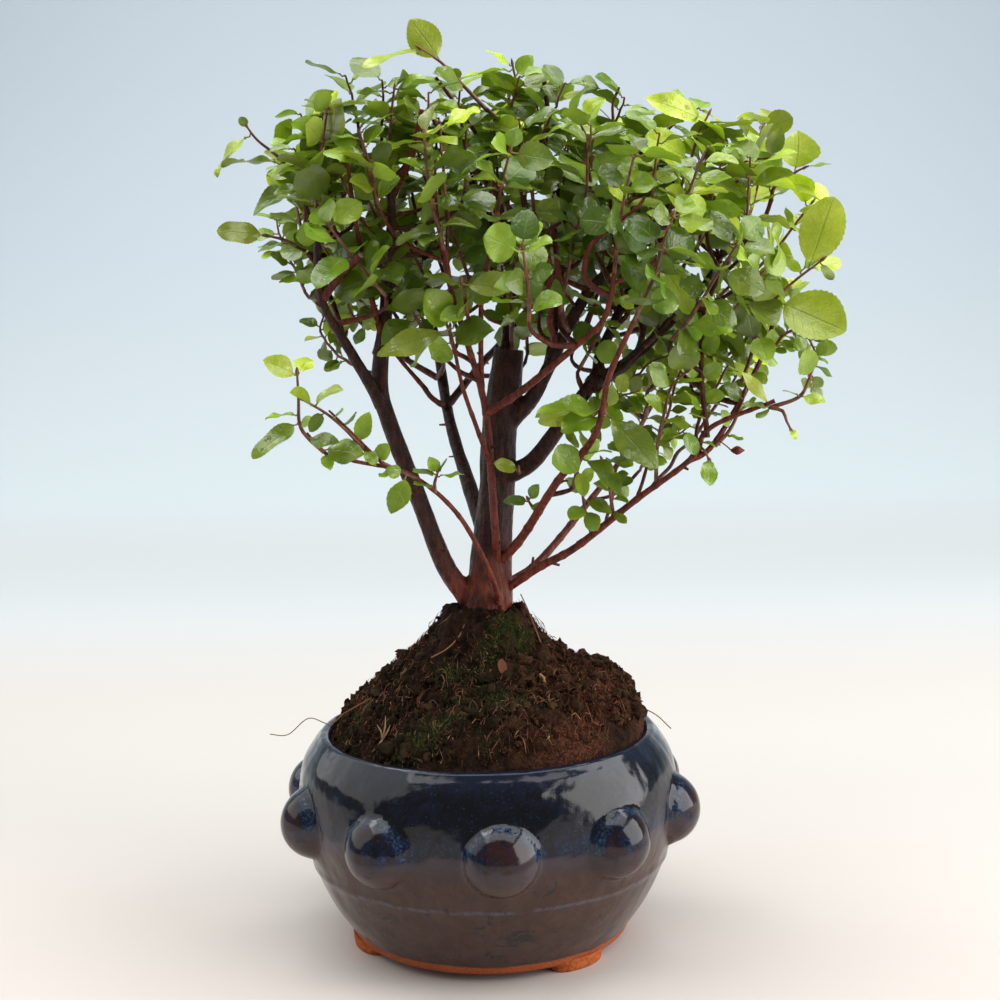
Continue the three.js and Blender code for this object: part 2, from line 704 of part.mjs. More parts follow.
// A leaf on each knot's sides in turn, and on most of the other sides of a full shoot, and one at the tip
function addLeaves({ shoot, random, skin, knots, parts }, others) {
  const addLeaf = (base, corners, out, { along, place }, size) => {
    const pose = leafPose(out, along, place, random);
    const length = size * between(LEAF_SIZES, random);
    for (const [turn, share] of LEAF_TRIES) {
      const leaf = bent({ ...pose, length: share * length }, out, turn);
      const wide = bladeSolid(corners, leaf, LEAF_THICKNESS + 2 * GAP);
      const bare = bladeSolid(corners, leaf, LEAF_THICKNESS);
      if (!crosses(wide, others) && !crosses(bare, parts)) {
        addBlade(skin, base, corners, leaf, LEAF_THICKNESS);
        parts.push(obstacle(bare));
        return;
      }
    }
    skin.cap(base);
  };
  knots.forEach((knot, k) => {
    const { low, up, lowSquare, upSquare } = knot;
    for (let side = 0; side < 4; side += 1) {
      const next = (side + 1) % 4;
      const base = [low[side], low[next], up[next], up[side]];
      const corners = [lowSquare[side], lowSquare[next], upSquare[next], upSquare[side]];
      const out = corners[0].clone().add(corners[1]).sub(lowSquare[0]).sub(lowSquare[2]).normalize();
      const paired = (side + k) % 2 === 0;
      if (paired || (shoot.full && random() < MORE_LEAVES)) addLeaf(base, corners, out, knot, shoot.leaf);
      else skin.cap(base);
    }
  });
  const end = knots[knots.length - 1];
  const out = end.along.clone().add(end.across).normalize();
  addLeaf(end.up, end.upSquare, out, end, TIP_LEAF * shoot.leaf);
}

function named(name, geometry, look) {
  const mesh = new THREE.Mesh(geometry, new THREE.MeshStandardMaterial(look));
  mesh.name = name;
  return mesh;
}

const shoots = planShoots();
const places = limbPlaces();
const trunkPoints = TRUNK.map(vector);
const trunkHole = limbSolid(trunkPoints, TRUNK_RADII.map((radius) => radius + 2 * GAP), TRUNK_SIDES);
let tree = limbSolid(trunkPoints, TRUNK_RADII, TRUNK_SIDES);
for (const { points, radii } of Object.values(LIMBS)) {
  const line = points.map(vector);
  tree = tree.add(limbSolid(line, taper(line, radii), limbSides(radii[0])));
}
for (const shoot of shoots) {
  if (!shoot.onLimb) tree = tree.add(twigSolid(shoot, places));
}
const pot = potSolid();
const soil = soilSolid(trunkHole);

const group = new THREE.Group();
group.name = "sweet_plum_bonsai";
group.position.set(...POT_AXIS);
group.add(named("pot", geometryOf(pot), COLOURS.pot));
group.add(named("soil", geometryOf(soil), COLOURS.soil));
group.add(named("tree", geometryOf(tree), COLOURS.bark));

const fixed = [pot, soil, tree].map(obstacle);
const stems = [];
const partsOf = (some) => some.flatMap(({ parts }) => parts);
shoots.forEach((shoot, index) => {
  const stem = growStem(shoot, index);
  const others = [...fixed, ...partsOf(stems)];
  if (!stem.parts.some(({ solid }) => crosses(solid, others))) stems.push(stem);
});
for (const stem of stems) {
  addLeaves(stem, [...fixed, ...partsOf(stems.filter((other) => other !== stem))]);
  const name = `shoot_${String(stem.index + 1).padStart(2, "0")}`;
  group.add(named(name, stem.skin.geometry(), COLOURS.leaf));
}

export default group;
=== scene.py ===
"""The looks of a sweet plum bonsai in a glazed bowl with round knobs.

Lengths are in millimetres from the pot's axis on the table, with the front at -Y.
place() turns them into the frame's metres.
"""

import math
from collections import namedtuple
from functools import cache

import bpy
import numpy as np
from mathutils import Matrix, Vector, noise


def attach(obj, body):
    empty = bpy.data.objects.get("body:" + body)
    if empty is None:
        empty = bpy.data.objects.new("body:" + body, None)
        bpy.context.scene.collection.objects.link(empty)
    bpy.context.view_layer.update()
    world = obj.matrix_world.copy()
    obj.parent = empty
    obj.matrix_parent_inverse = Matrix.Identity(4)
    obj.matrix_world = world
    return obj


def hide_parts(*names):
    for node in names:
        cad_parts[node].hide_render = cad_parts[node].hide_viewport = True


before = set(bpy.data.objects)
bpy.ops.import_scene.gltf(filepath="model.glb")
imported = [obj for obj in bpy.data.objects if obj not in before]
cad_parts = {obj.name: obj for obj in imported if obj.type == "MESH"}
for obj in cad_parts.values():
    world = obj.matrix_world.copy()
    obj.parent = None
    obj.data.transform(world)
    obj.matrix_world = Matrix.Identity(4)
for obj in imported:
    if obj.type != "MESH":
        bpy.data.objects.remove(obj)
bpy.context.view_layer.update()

POT_AXIS = np.array([-20.0, 2.5, 0.0])
UP = np.array([0.0, 0.0, 1.0])
SHARP_ANGLE = math.radians(62)

# Camera, at the photograph's place
CAMERA_PLACE = (5.9, -489.0, 200.0)
CAMERA_PITCH = 6.45
CAMERA_ROLL = -1.2
CAMERA_LENS = 54.0
CAMERA_SENSOR = 36
CAMERA_CLIP = (0.01, 20)

# Studio: the paper's rows and colours, then each light's place, aim, size in metres, watts, colour
FLOOR_ROWS = (-1200, 300, 700)
FLOOR_REACH = 2600.0
WALL_CURVE = 900
WALL_TOP = 2600
# The paper's colour near the front, then its tones by place: painted light, lighter and warmer near the
# front, darker and bluer further back and up the wall
PAPER = (0.600, 0.550, 0.512)
PAPER_PAINTED_LIGHT = [
    ("Y", -80, 180, (0.492, 0.468, 0.444)), ("Y", 300, 640, (0.495, 0.518, 0.528)),
    ("Z", 5, 45, (0.505, 0.560, 0.580)), ("Z", 60, 400, (0.500, 0.560, 0.615)),
]
TREE_MIDDLE = (0, 0, 150)
LIGHTS = {
    "window": ((1000, -220, 460), TREE_MIDDLE, (1.1, 1.0), 16.5, (1.0, 0.99, 0.97)),
    "top": ((0, -20, 1250), TREE_MIDDLE, (1.8, 1.2), 20.5, (1.0, 1.0, 0.98)),
    "left": ((-980, 160, 800), TREE_MIDDLE, (1.5, 1.2), 8.0, (1.0, 0.985, 0.96)),
    "wall": ((0, 450, 1700), (0, 1300, 0), (2.4, 0.5), 12.0, (0.98, 0.99, 1.0)),
}
SKY_COLOR = (0.86, 0.93, 1.0, 1)
SKY_STRENGTH = 0.27

# Seeds of the random draws; RUN_ values are shared with the CAD's rule
SEEDS = {
    "crumbs": 5, "moss": 8, "roots": 12, "slivers": 15, "twigs": 3, "sprays": 70, "top_row": 77,
    "sprigs": 300, "shoots": 900, "crown": 4130,
}
SHOOT_RUN = (1000, 7919)
RUN_FACTOR = 1664525
RUN_STEP = 1013904223
RUN_SIZE = 2**32

# Pot
POT_WALL = [
    (46, 3.0), (47.5, 6), (53.5, 15), (58, 25), (61, 35), (63, 47), (61.5, 59), (57.5, 66),
    (55.8, 68),
]
POT_WALL_HEIGHTS = (3.0, 67.6, 1.0)
POT_LIP_MIDDLE = (53.9, 67.4)
POT_LIP_RADIUS = 1.9
POT_LIP_DEGREES = (20, 171, 15)
POT_INSIDE = [(52.5, 68), (53, 64), (57.5, 48), (52, 25), (38, 9)]
POT_FLOOR_RADIUS = 24
FOOT_RING = [(40, 4.6), (42, 2.9), (43, 2.5), (45, 2.5)]
FOOT_RING_INNER = 38
UNDERSIDE_HEIGHT = 5
DRAIN_RADIUS = 6
KNOB_COUNT = 10
KNOB_RADIUS = 11
KNOB_CIRCLE = 59.5
KNOB_HEIGHT = 44.5
KNOB_PHASE = 3.8
KNOB_SPAN = 12.5
KNOB_COLUMNS = 28
GAP_COLUMNS = 7
KNOB_FILLET = 4.2
KNOB_EDGE = 0.6
KNOB_EDGE_WIDTH = 1.5
KNOB_FADE = 7.0
RING_HEIGHT = 27.5
RING_RISE = 0.45
RING_WIDTH = 1.2
RING_WANDER = 0.8
FOOT_CIRCLE = 42
FOOT_HALF_LENGTH = 10
FOOT_HALF_WIDTH = 5
FOOT_HEIGHT = 4
FOOT_SIDES = 36
FOOT_PROFILE = [(0.92, 0.0), (0.98, 0.25), (1.0, 0.8), (1.04, 3.0), (1.06, FOOT_HEIGHT)]
FOOT_ANGLES = (40, -70, 165)
GLAZE_LINE = 44.0
GLAZE_WAVES = [(2.4, 14.0, 2, 0.0), (1.5, 4.0, 1, 5.0)]
INSIDE_GLAZE = 0.4
LIP_OUTER_ROWS = 6
POT_SWELL = (0.18, 26.0)

# Soil
SOIL_MOUND = [(13, 108.5), (22, 96.5), (32, 88), (41, 81), (47.5, 74), (52, 67)]
SOIL_TOP = 110
SOIL_EDGE_RISE = 9
SOIL_EDGE_DISTANCE = 45
SOIL_EDGE_WIDTH = 10
SOIL_RADIUS = 52.3
SOIL_HOLE = 8.9
SOIL_SIDES = 250
SOIL_RINGS = 96
SOIL_LUMPS = [(2.3, 13.0, 1, 0.0), (2.3, 5.0, 2, 4.0), (1.3, 1.9, 2, 8.0)]
SOIL_WALL = [(52.0, 64.5), (52.3, 64), (56.8, 48), (51.4, 25), (37.4, 9.3)]
STUMP_BOTTOM = 84.0
# Crumbs: which ball, how many, the smallest and the largest
CRUMBS = [("plain", 3400, 0.3, 0.85), ("fine", 460, 0.8, 1.9), ("fine", 110, 1.5, 2.8)]
SLIVERS = 8400
RED_SLIVERS = 0.75
TAN_SLIVERS = 0.10
SHORT_ROOTS = 420
MOSS_TUFTS = 560
TUFT_BLADES = 15
BLADE_RADIUS = 0.13
FALLEN_BUD = [(17.3, -24.5, 92.0), (18.2, -25.5, 90.6), (19.0, -26.3, 89.0)]
SCRAP_FOOT = (-32.0, -36.0, 75.0)
SCRAP_TIPS = [(-31, -34.5, 82), (-33.5, -37, 80), (-29.5, -36, 79.5), (-35, -39, 72)]
# Long hair roots: centre line and radius
HAIR_ROOTS = {
    "left": (
        [(-37, -20, 84), (-45, -22, 80), (-50, -20, 76), (-57, -18, 77.5), (-64, -17, 72), (-70, -16, 72)],
        0.17,
    ),
    "right": ([(49, -12, 78), (55, -13, 75), (60, -12, 70)], 0.2),
    "trunk": ([(12, -4, 114), (14, -7, 110), (16, -10, 105), (18, -14, 100)], 0.2),
    "front": ([(-17, -20, 97), (-12, -19, 99.5), (-8, -16, 103), (-6, -13, 107)], 0.22),
}
# Moss: middles of the patches and their size
MOSS_PATCHES = [
    (2, -20, 98, 9), (-9, -28, 93, 7), (6, -36, 84, 7), (-18, -40, 76, 8), (-43, -22, 74, 6),
    (12, -12, 104, 6),
]

# Trunk and limbs: centre lines and radii
TRUNK = [
    (1, 0, 84), (1, 0, 100), (1, 0, 108), (2, 0, 117), (3, 1, 131), (5, 2, 148), (6, 2, 166),
    (8, 2, 180), (10, 2, 194),
]
TRUNK_RADII = [8.8, 9.6, 8.6, 7.6, 6.7, 6, 5.9, 5.7, 4.9]
LIMBS = {
    "left_limb": (
        [(-2, 0, 108), (-7, -1, 115), (-13, -3, 125), (-20, -5, 145), (-31, -8, 178), (-31, -8, 195)],
        (3.9, 3.1),
    ),
    "left_upright": (
        [(-31, -8, 193), (-29, -10, 207), (-28, -12, 220), (-26, -15, 236), (-26, -18, 250)],
        (2.9, 1.3),
    ),
    "left_outer": ([(-31, -8, 177), (-40, -20, 195), (-47, -30, 211), (-48, -27, 233)], (2.5, 1.3)),
    "left_outer_back": ([(-41, -20, 196), (-45, -12, 208), (-50, -4, 219), (-56, 4, 232)], (1.4, 0.9)),
    "back_limb": (
        [(1, 2, 134), (-4, 14, 147), (-11, 28, 170), (-15, 40, 195), (-22, 50, 232)], (3.2, 1.3),
    ),
    "back_limb_left": ([(-15, 34, 184), (-30, 41, 194), (-36, 44, 207), (-42, 46, 222)], (1.6, 0.9)),
    "back_limb_right": (
        [(-12, 30, 174), (0, 40, 188), (14, 48, 203), (24, 52, 221), (28, 52, 238)], (2, 1),
    ),
    "sucker": (
        [(5, -3, 122), (4, -10, 139), (2, -15, 174), (-3, -26, 196), (-7, -34, 210), (-9, -38, 224)],
        (1.9, 1.1),
    ),
    "sucker_right": (
        [(2, -15, 174), (13, -22, 181), (30, -34, 195), (38, -40, 203), (41, -43, 216)], (1.8, 1),
    ),
    "sucker_mid": ([(1, -16, 179), (1, -24, 196), (2, -34, 213), (6, -42, 228)], (1.2, 0.9)),
    "top_left": ([(8, 3, 186), (10, 8, 202), (12, 14, 216), (6, 20, 234), (-2, 22, 250)], (2.6, 1.1)),
    "right_fork": (
        [(9, 2, 170), (17, -2, 178), (22, -4, 187), (36, -4, 212), (57, -12, 231), (62, -16, 246)],
        (3.2, 1.2),
    ),
    "right_fork_inner": (
        [(21, -3, 184), (25, 5, 200), (27, 12, 215), (30, 16, 232), (26, 16, 250)], (2, 1),
    ),
    "right_limb": (
        [
            (6, 1, 152), (16, -4, 157), (24, -9, 167), (37, -5, 184), (40, 0, 193), (52, 12, 218),
            (54, 16, 236),
        ],
        (3.5, 1.3),
    ),
    "right_limb_outer": (
        [(36, -6, 182), (44, 0, 186), (53, 8, 192), (74, 20, 211), (82, 24, 223), (87, 26, 236)],
        (2.8, 1.2),
    ),
    "right_limb_back": ([(52, 8, 191), (56, 22, 200), (60, 36, 212), (62, 44, 226)], (1.6, 1)),
    "front_limb": (
        [(5, -3, 124), (13, -10, 134), (24, -24, 153), (35, -36, 168), (39, -44, 186), (46, -50, 202)],
        (2.2, 1),
    ),
    "low_shoot": (
        [
            (4, -1, 113), (18, -6, 123), (30, -10, 130), (49, -18, 146), (65, -26, 159),
            (71, -29, 169), (90, -33, 177),
        ],
        (2.1, 0.9),
    ),
    "low_shoot_up": ([(64, -25, 158), (73, -24, 164), (88, -17, 188), (95, -13, 207)], (1.3, 0.9)),
    "low_shoot_back": ([(4, 2, 115), (18, 10, 122), (37, 26, 141), (50, 36, 156), (60, 42, 172)], (2.1, 1)),
    "right_thin": ([(70, -29, 166), (69, -24, 186), (71, -18, 205), (79, -13, 220)], (1.2, 0.9)),
    "droop": (
        [
            (5, -4, 108), (3, -14, 121), (-7, -26, 143), (-21, -36, 157), (-37, -42, 162),
            (-46, -44, 165), (-51, -45, 171),
        ],
        (1.35, 0.65),
    ),
    "droop_up": ([(-28, -39, 159.5), (-36, -50, 170), (-43, -55, 178)], (0.7, 0.45)),
}
THICK_LIMB = 2.3
LIMB_SLIM = 0.86
THIN_LIMB = 2.3
THIN_LIMB_SLIM = 0.72
JOIN_REACH = 3.0
WOOD_VOXEL = 0.77
NUBS = 70
RED_LIMBS = ("sucker", "front", "low", "droop")
RED_LIMB = 0.9
TWIG_SHADES = (0.1, 0.9)
TWIG_RADII = (1.0, 0.52)
SPRAY_TWIG = 0.72
SPRIG_TWIG = 0.55

# Leafy shoots: at the limbs' ends (pairs of leaves, leaf length), then those with a place of their own
LIMB_END_SHOOTS = {
    "left_upright": (3, 14), "left_outer": (4, 13), "left_outer_back": (3, 13), "back_limb": (4, 14),
    "back_limb_left": (3, 14), "back_limb_right": (3, 14), "sucker": (4, 14), "sucker_right": (4, 14),
    "sucker_mid": (3, 15), "top_left": (3, 14), "right_fork": (3, 14), "right_fork_inner": (3, 14),
    "right_limb": (3, 14), "right_limb_outer": (4, 14), "right_limb_back": (3, 14),
    "front_limb": (4, 15), "low_shoot": (1, 10), "low_shoot_up": (2, 18), "low_shoot_back": (3, 13),
    "right_thin": (3, 14), "droop": (2, 12), "droop_up": (2, 11),
}
PLACED_SHOOTS = {
    "crest": ((1, -9, 267), (-0.6, -0.3, 0.7), 2, 16),
    "left_tip": ((-58, -5, 247), (-0.65, -0.1, 0.55), 2, 14),
    "left_low": ((-59, -8, 229), (-1, -0.3, 0.05), 1, 16),
    "right_round": ((94, 0, 236), (0.3, -0.2, 1), 2, 14),
    "right_pale": ((90, -22, 214), (0.8, -0.4, 0.6), 2, 16),
    "front_hanging": ((34, -38, 166), (0.35, -0.9, 0.1), 2, 21),
    "front_inner": ((19, -25, 150), (-0.2, -0.9, 0.1), 2, 12),
    "trunk_sprig": ((4, -16, 152), (0.6, -0.9, 0.2), 1, 9),
    "droop_left": ((-50, -46, 166), (-1, -0.2, -0.15), 1, 15),
    "droop_middle": ((-36, -46, 158), (-0.3, -0.9, 0), 2, 11),
    "droop_right": ((-15, -35, 157), (0.2, -0.2, 1), 2, 9),
    "low_inner": ((41, -18, 146), (-0.2, -0.3, 1), 3, 10),
    "low_outer": ((68, -30, 172), (-0.3, -0.1, 1), 3, 12),
}

# Sprays that stand clear of the crown, leaf by leaf: points of the stem, then for each leaf its
# place along those points, its tip, its width, the way it faces and how fresh it is, a number that
# also carries painted light, higher for lit and backlit leaves
FRONT = (0.1, -1.0, 0.45)
TILTED = (0.0, -0.7, 1.0)
ABOVE = (0.05, -0.2, 1.0)
RIGHT = (0.85, -0.5, 0.3)
SPRAYS = {
    "crest": (
        [(4, -9, 269), (-3, -12, 276), (-9, -15, 282), (-15, -16, 286)],
        [
            (2, (-18, -18, 295), 10.5, FRONT, 0.85), (3, (-33, -24, 283), 8.5, ABOVE, 0.8),
            (0.9, (-10, -22, 279), 8.5, FRONT, 0.4), (3, (-18, -15, 290), 2.5, FRONT, 0.5),
        ],
    ),
    "crest_right": (
        [(1, 22, 257), (9, 17, 269), (14, 12, 277), (13, 10, 285)],
        [
            (3, (5, 6, 290), 5.5, TILTED, 0.75), (2.9, (-5, 2, 282), 7, ABOVE, 0.8),
            (2.6, (19, 8, 288), 6, FRONT, 0.6), (2.2, (27, 8, 283), 8.5, TILTED, 0.7),
            (2, (5, 2, 278), 6.5, TILTED, 0.45),
        ],
    ),
    "left_tip": (
        [(-55, -5, 246), (-61, -6, 255), (-68, -7, 261), (-71, -7, 265)],
        [
            (2.6, (-82, -12, 252), 6, ABOVE, 0.75), (3, (-73, -8, 268), 3, FRONT, 0.5),
            (1.4, (-57, -3, 268), 7.5, RIGHT, 0.6), (0.9, (-78, -14, 255), 8, ABOVE, 0.65),
            (0.1, (-70, -12, 241), 8.5, TILTED, 0.35),
        ],
    ),
    "left_twig": (
        [(-44, -12, 232), (-48, -10, 242), (-49, -8, 251), (-49, -8, 260)],
        [
            (2, (-64, -14, 250), 8.5, TILTED, 0.7), (1.1, (-40, -15, 246), 8, TILTED, 0.6),
            (2.3, (-53, -10, 257), 4.5, TILTED, 0.5),
        ],
    ),
    "left_low": (
        [(-57, -8, 228), (-61, -9, 230), (-65, -10, 231)],
        [
            (2, (-80, -15, 233), 8.5, FRONT, 1), (0.5, (-68, -14, 227), 6, ABOVE, 0.5),
        ],
    ),
    "right_fork": (
        [(60, -16, 235), (66, -17, 248), (69, -18, 258), (72, -19, 264)],
        [
            (2.7, (54, -27, 270), 8, FRONT, 0.95), (1.2, (55, -25, 259), 12.5, FRONT, 0.8),
            (2.2, (85, -22, 262), 8.5, ABOVE, 0.9), (2.6, (89, -6, 264), 10.5, ABOVE, 0.45),
            (1, (56, -22, 247), 7, TILTED, 0.3), (0.6, (55, -24, 239), 7, FRONT, 0.5),
        ],
    ),
    "right_round": (
        [(95, 0, 240), (96, -1, 244), (102, -3, 248), (104, -4, 249)],
        [
            (2, (103, -8, 260), 13, FRONT, 0.85), (3, (112, -8, 251), 4.5, ABOVE, 0.6),
            (1, (91, -7, 254), 9.5, FRONT, 0.35), (0.4, (89, 2, 262), 11, FRONT, 0.7),
            (1.3, (109, -8, 240), 6, ABOVE, 0.75),
        ],
    ),
    "right_pale": (
        [(82, -20, 182), (86, -17, 192), (89, -18, 203), (97, -20, 212), (106, -22, 219)],
        [
            (3.6, (109, -26, 238), 13.5, FRONT, 1), (3.4, (110, -12, 236), 8, RIGHT, 0.5),
            (2.7, (93, -26, 231), 7.5, RIGHT, 0.6), (2.2, (86, -24, 216), 8, FRONT, 0.65),
            (2.5, (112, -29, 197), 17, FRONT, 0.85), (1.2, (83, -23, 207), 10.5, FRONT, 0.3),
            (1.5, (90, -23, 189), 8, FRONT, 0.55), (4, (109, -24, 213), 3.5, FRONT, 0.6),
            (0.7, (77, -24, 194), 8, FRONT, 0.4), (0.3, (88, -25, 182), 6.5, TILTED, 0.5),
            (3.7, (114, -14, 219), 5, RIGHT, 0.8), (3, (106, -8, 201), 8.5, FRONT, 0.5),
        ],
    ),
    "front_low": (
        [(35, -36, 168), (37, -37, 173), (38, -39, 176)],
        [
            (1.6, (18, -47, 179), 10, TILTED, 0.5), (1.8, (52, -49, 159), 10, FRONT, 0.6),
            (1.2, (24, -44, 172), 8.5, TILTED, 0.3), (1.6, (18, -38, 174), 6.5, FRONT, 0.9),
            (2, (40, -44, 183), 6, FRONT, 0.45),
        ],
    ),
    "front_inner": (
        [(29, -22, 151), (30, -28, 157), (32, -31, 162)],
        [
            (2, (23, -38, 160), 10, FRONT, 0.3), (2, (39, -38, 164), 5, ABOVE, 0.4),
            (1.4, (37, -30, 166), 5, RIGHT, 0.45), (1, (32, -34, 150), 4.5, FRONT, 0.7),
            (1.7, (40, -37, 157), 5.5, TILTED, 0.45),
        ],
    ),
    "low_inner": (
        [(35, -12, 135), (33, -15, 142), (32, -17, 149), (32, -18, 152)],
        [
            (1.3, (28, -20, 140), 6, FRONT, 0.45), (1.1, (37, -20, 137), 5.5, FRONT, 0.5),
            (1.6, (41, -21, 143), 5, TILTED, 0.5), (1.9, (28, -22, 153), 4.5, FRONT, 0.4),
            (2.7, (35, -20, 156), 4, FRONT, 0.6),
        ],
    ),
    "low_mid": (
        [(42, -14, 140), (41, -17, 147), (40, -20, 154), (38, -24, 159)],
        [
            (2.6, (42, -28, 149), 6, FRONT, 0.4), (1.3, (36, -22, 152), 4.5, TILTED, 0.45),
            (0.9, (46, -20, 146), 4, ABOVE, 0.5), (2.9, (44, -30, 161), 5, TILTED, 0.35),
            (0.4, (45, -20, 139), 3.5, FRONT, 0.7),
        ],
    ),
    "trunk_sprig": (
        [(12, -9, 155), (12, -11, 156)],
        [
            (0.6, (5, -19, 159), 5, FRONT, 0.9),
        ],
    ),
    "trunk_low": (
        [(18, -11, 142), (16, -12, 144), (15, -14, 146)],
        [
            (1.8, (8, -18, 147), 4, FRONT, 0.2), (2, (18, -17, 151), 4, FRONT, 0.25),
            (1.2, (19, -16, 144), 4, FRONT, 0.3),
        ],
    ),
    "droop": (
        [(-46, -44, 165), (-51, -45, 170), (-53, -45, 174), (-53, -45, 181), (-53, -46, 188)],
        [
            (4, (-60, -53, 193), 6.5, FRONT, 0.85), (4, (-50, -40, 194), 6, FRONT, 0.8),
            (2.4, (-62, -50, 177), 4, ABOVE, 0.55), (2.1, (-66, -52, 165), 7, TILTED, 0.6),
            (2, (-49, -49, 175), 4, FRONT, 0.4), (1, (-42, -51, 168), 6, FRONT, 0.5),
            (0.2, (-34, -51, 166), 8, FRONT, 0.5), (0, (-44, -48, 161), 4, FRONT, 0.35),
        ],
    ),
    "droop_up": (
        [(-31, -40, 162), (-35, -46, 167), (-39, -49, 172), (-44, -53, 177), (-50, -55, 181)],
        [
            (3.6, (-53, -60, 184), 7, TILTED, 0.75), (3.6, (-40, -58, 185), 7, TILTED, 0.75),
            (3.1, (-49, -56, 173), 4, FRONT, 0.4), (2.7, (-39, -56, 178), 4, TILTED, 0.45),
            (2.2, (-35, -54, 177), 4.5, RIGHT, 0.4), (1.1, (-33, -50, 176), 5.5, FRONT, 0.45),
            (0, (-27, -45, 167), 5, FRONT, 0.4), (0.8, (-30, -50, 162), 4, TILTED, 0.4),
        ],
    ),
    "droop_middle": (
        [(-29, -40, 161), (-25, -39, 159), (-21, -38, 157)],
        [
            (0.3, (-24, -46, 158), 4.5, TILTED, 0.4), (1.7, (-25, -44, 147), 7, FRONT, 0.5),
            (1, (-30, -44, 158), 4, ABOVE, 0.45),
        ],
    ),
    "droop_right": (
        [(-14, -32, 151), (-14, -32, 154), (-13, -32, 157)],
        [
            (1.9, (-20, -38, 159), 5, TILTED, 0.4), (2, (-15, -36, 162), 4, FRONT, 0.45),
            (2, (-11, -36, 162), 3.5, RIGHT, 0.35), (1.7, (-5, -38, 158), 3.5, ABOVE, 0.5),
            (0.7, (-20, -38, 155), 4.5, TILTED, 0.4),
        ],
    ),
    "low_shoot": (
        [(89, -32, 175), (97, -34, 178), (100, -34, 183), (102, -34, 190)],
        [
            (2.1, (98, -39, 192), 8, FRONT, 0.5), (1.1, (104, -38, 177), 5, TILTED, 0.75),
            (1.1, (92, -38, 181), 3, ABOVE, 0.6), (0, (81, -37, 186), 4, FRONT, 0.95),
            (0, (80, -36, 177), 3, TILTED, 0.6), (0, (84, -36, 172), 3, ABOVE, 0.6),
            (3, (105, -37, 194), 3.5, FRONT, 0.6),
        ],
    ),
    "thread": (
        [(89, -33, 175), (92, -35, 174), (93, -36, 171), (94, -36, 169)],
        [
            (3, (96, -37, 166), 2.5, FRONT, 0.8),
        ],
    ),
    "low_outer": (
        [(69, -28, 168), (68, -29, 163), (69, -30, 162), (70, -30, 160)],
        [
            (1.3, (62, -37, 166), 7, FRONT, 0.2), (3, (70, -34, 152), 5.5, FRONT, 0.4),
            (0.6, (72, -33, 164), 2.5, ABOVE, 0.5),
        ],
    ),
    "low_outer_up": (
        [(70, -27, 171), (69, -26, 177), (69, -24, 185), (69, -22, 192)],
        [
            (0.5, (63, -31, 180), 5.5, TILTED, 0.45), (1.8, (74, -28, 188), 5.5, FRONT, 0.4),
            (1.1, (74, -31, 179), 5, FRONT, 0.4), (2.1, (62, -30, 189), 6.5, FRONT, 0.35),
            (2.9, (74, -26, 196), 6, FRONT, 0.45), (0, (65, -32, 175), 3.5, ABOVE, 0.5),
        ],
    ),
    "low_up_fill": (
        [(73, -25, 163), (78, -23, 168), (82, -21, 176), (83, -20, 179)],
        [
            (1, (75, -28, 174), 4, FRONT, 0.45), (1.6, (85, -27, 178), 4.5, TILTED, 0.5),
            (2.3, (76, -27, 181), 6, FRONT, 0.35), (0.7, (81, -28, 166), 3.5, ABOVE, 0.5),
        ],
    ),
    "mid_low": (
        [(55, -21, 152), (55, -25, 163), (57, -28, 174), (59, -30, 182), (63, -32, 186)],
        [
            (4, (61, -38, 195), 10, FRONT, 0.4), (3, (52, -36, 188), 7, FRONT, 0.35),
            (2.6, (64, -35, 177), 5.5, TILTED, 0.65), (2, (51, -34, 179), 5.5, FRONT, 0.55),
            (1.8, (62, -33, 171), 4, TILTED, 0.7), (3.2, (67, -36, 185), 4.5, ABOVE, 0.45),
            (1.2, (58, -30, 164), 3, FRONT, 0.6),
        ],
    ),
    "centre_twig": (
        [(44, -8, 222), (41, -22, 227), (40, -30, 232), (46, -36, 237)],
        [
            (3, (39, -42, 244), 6.5, FRONT, 0.95), (2.9, (55, -43, 237), 9.5, TILTED, 0.7),
            (2.1, (45, -36, 231), 3.5, FRONT, 0.6), (1.7, (31, -37, 234), 13.5, FRONT, 0.3),
            (1.5, (30, -35, 226), 8, TILTED, 0.5), (2.3, (37, -38, 235), 4, FRONT, 0.5),
        ],
    ),
    "right_hanging": (
        [(54, -4, 209), (55, -14, 215), (57, -22, 220)],
        [
            (2, (65, -30, 205), 9, FRONT, 0.75), (2, (72, -28, 219), 4.5, ABOVE, 0.85),
            (1.5, (48, -26, 220), 7, TILTED, 0.4), (0.8, (51, -20, 205), 5, FRONT, 0.5),
        ],
    ),
    "centre_low": (
        [(-7, -24, 194), (-8, -30, 197), (-8, -34, 201)],
        [
            (1.8, (-15, -40, 212), 11, FRONT, 0.5), (1.4, (4, -39, 201), 10.5, FRONT, 0.3),
            (2, (-30, -40, 194), 8, FRONT, 0.8), (1, (-14, -36, 193), 10, FRONT, 0.55),
            (1.9, (-1, -38, 209), 8, TILTED, 0.45),
        ],
    ),
    "centre_mid": (
        [(-2, -30, 200), (-3, -36, 207), (-4, -40, 214)],
        [
            (2, (12, -46, 212), 7.5, FRONT, 0.75), (1.9, (-13, -46, 218), 7, TILTED, 0.6),
            (1.3, (7, -42, 215), 11, FRONT, 0.3), (0.8, (-11, -41, 204), 6, FRONT, 0.5),
        ],
    ),
}
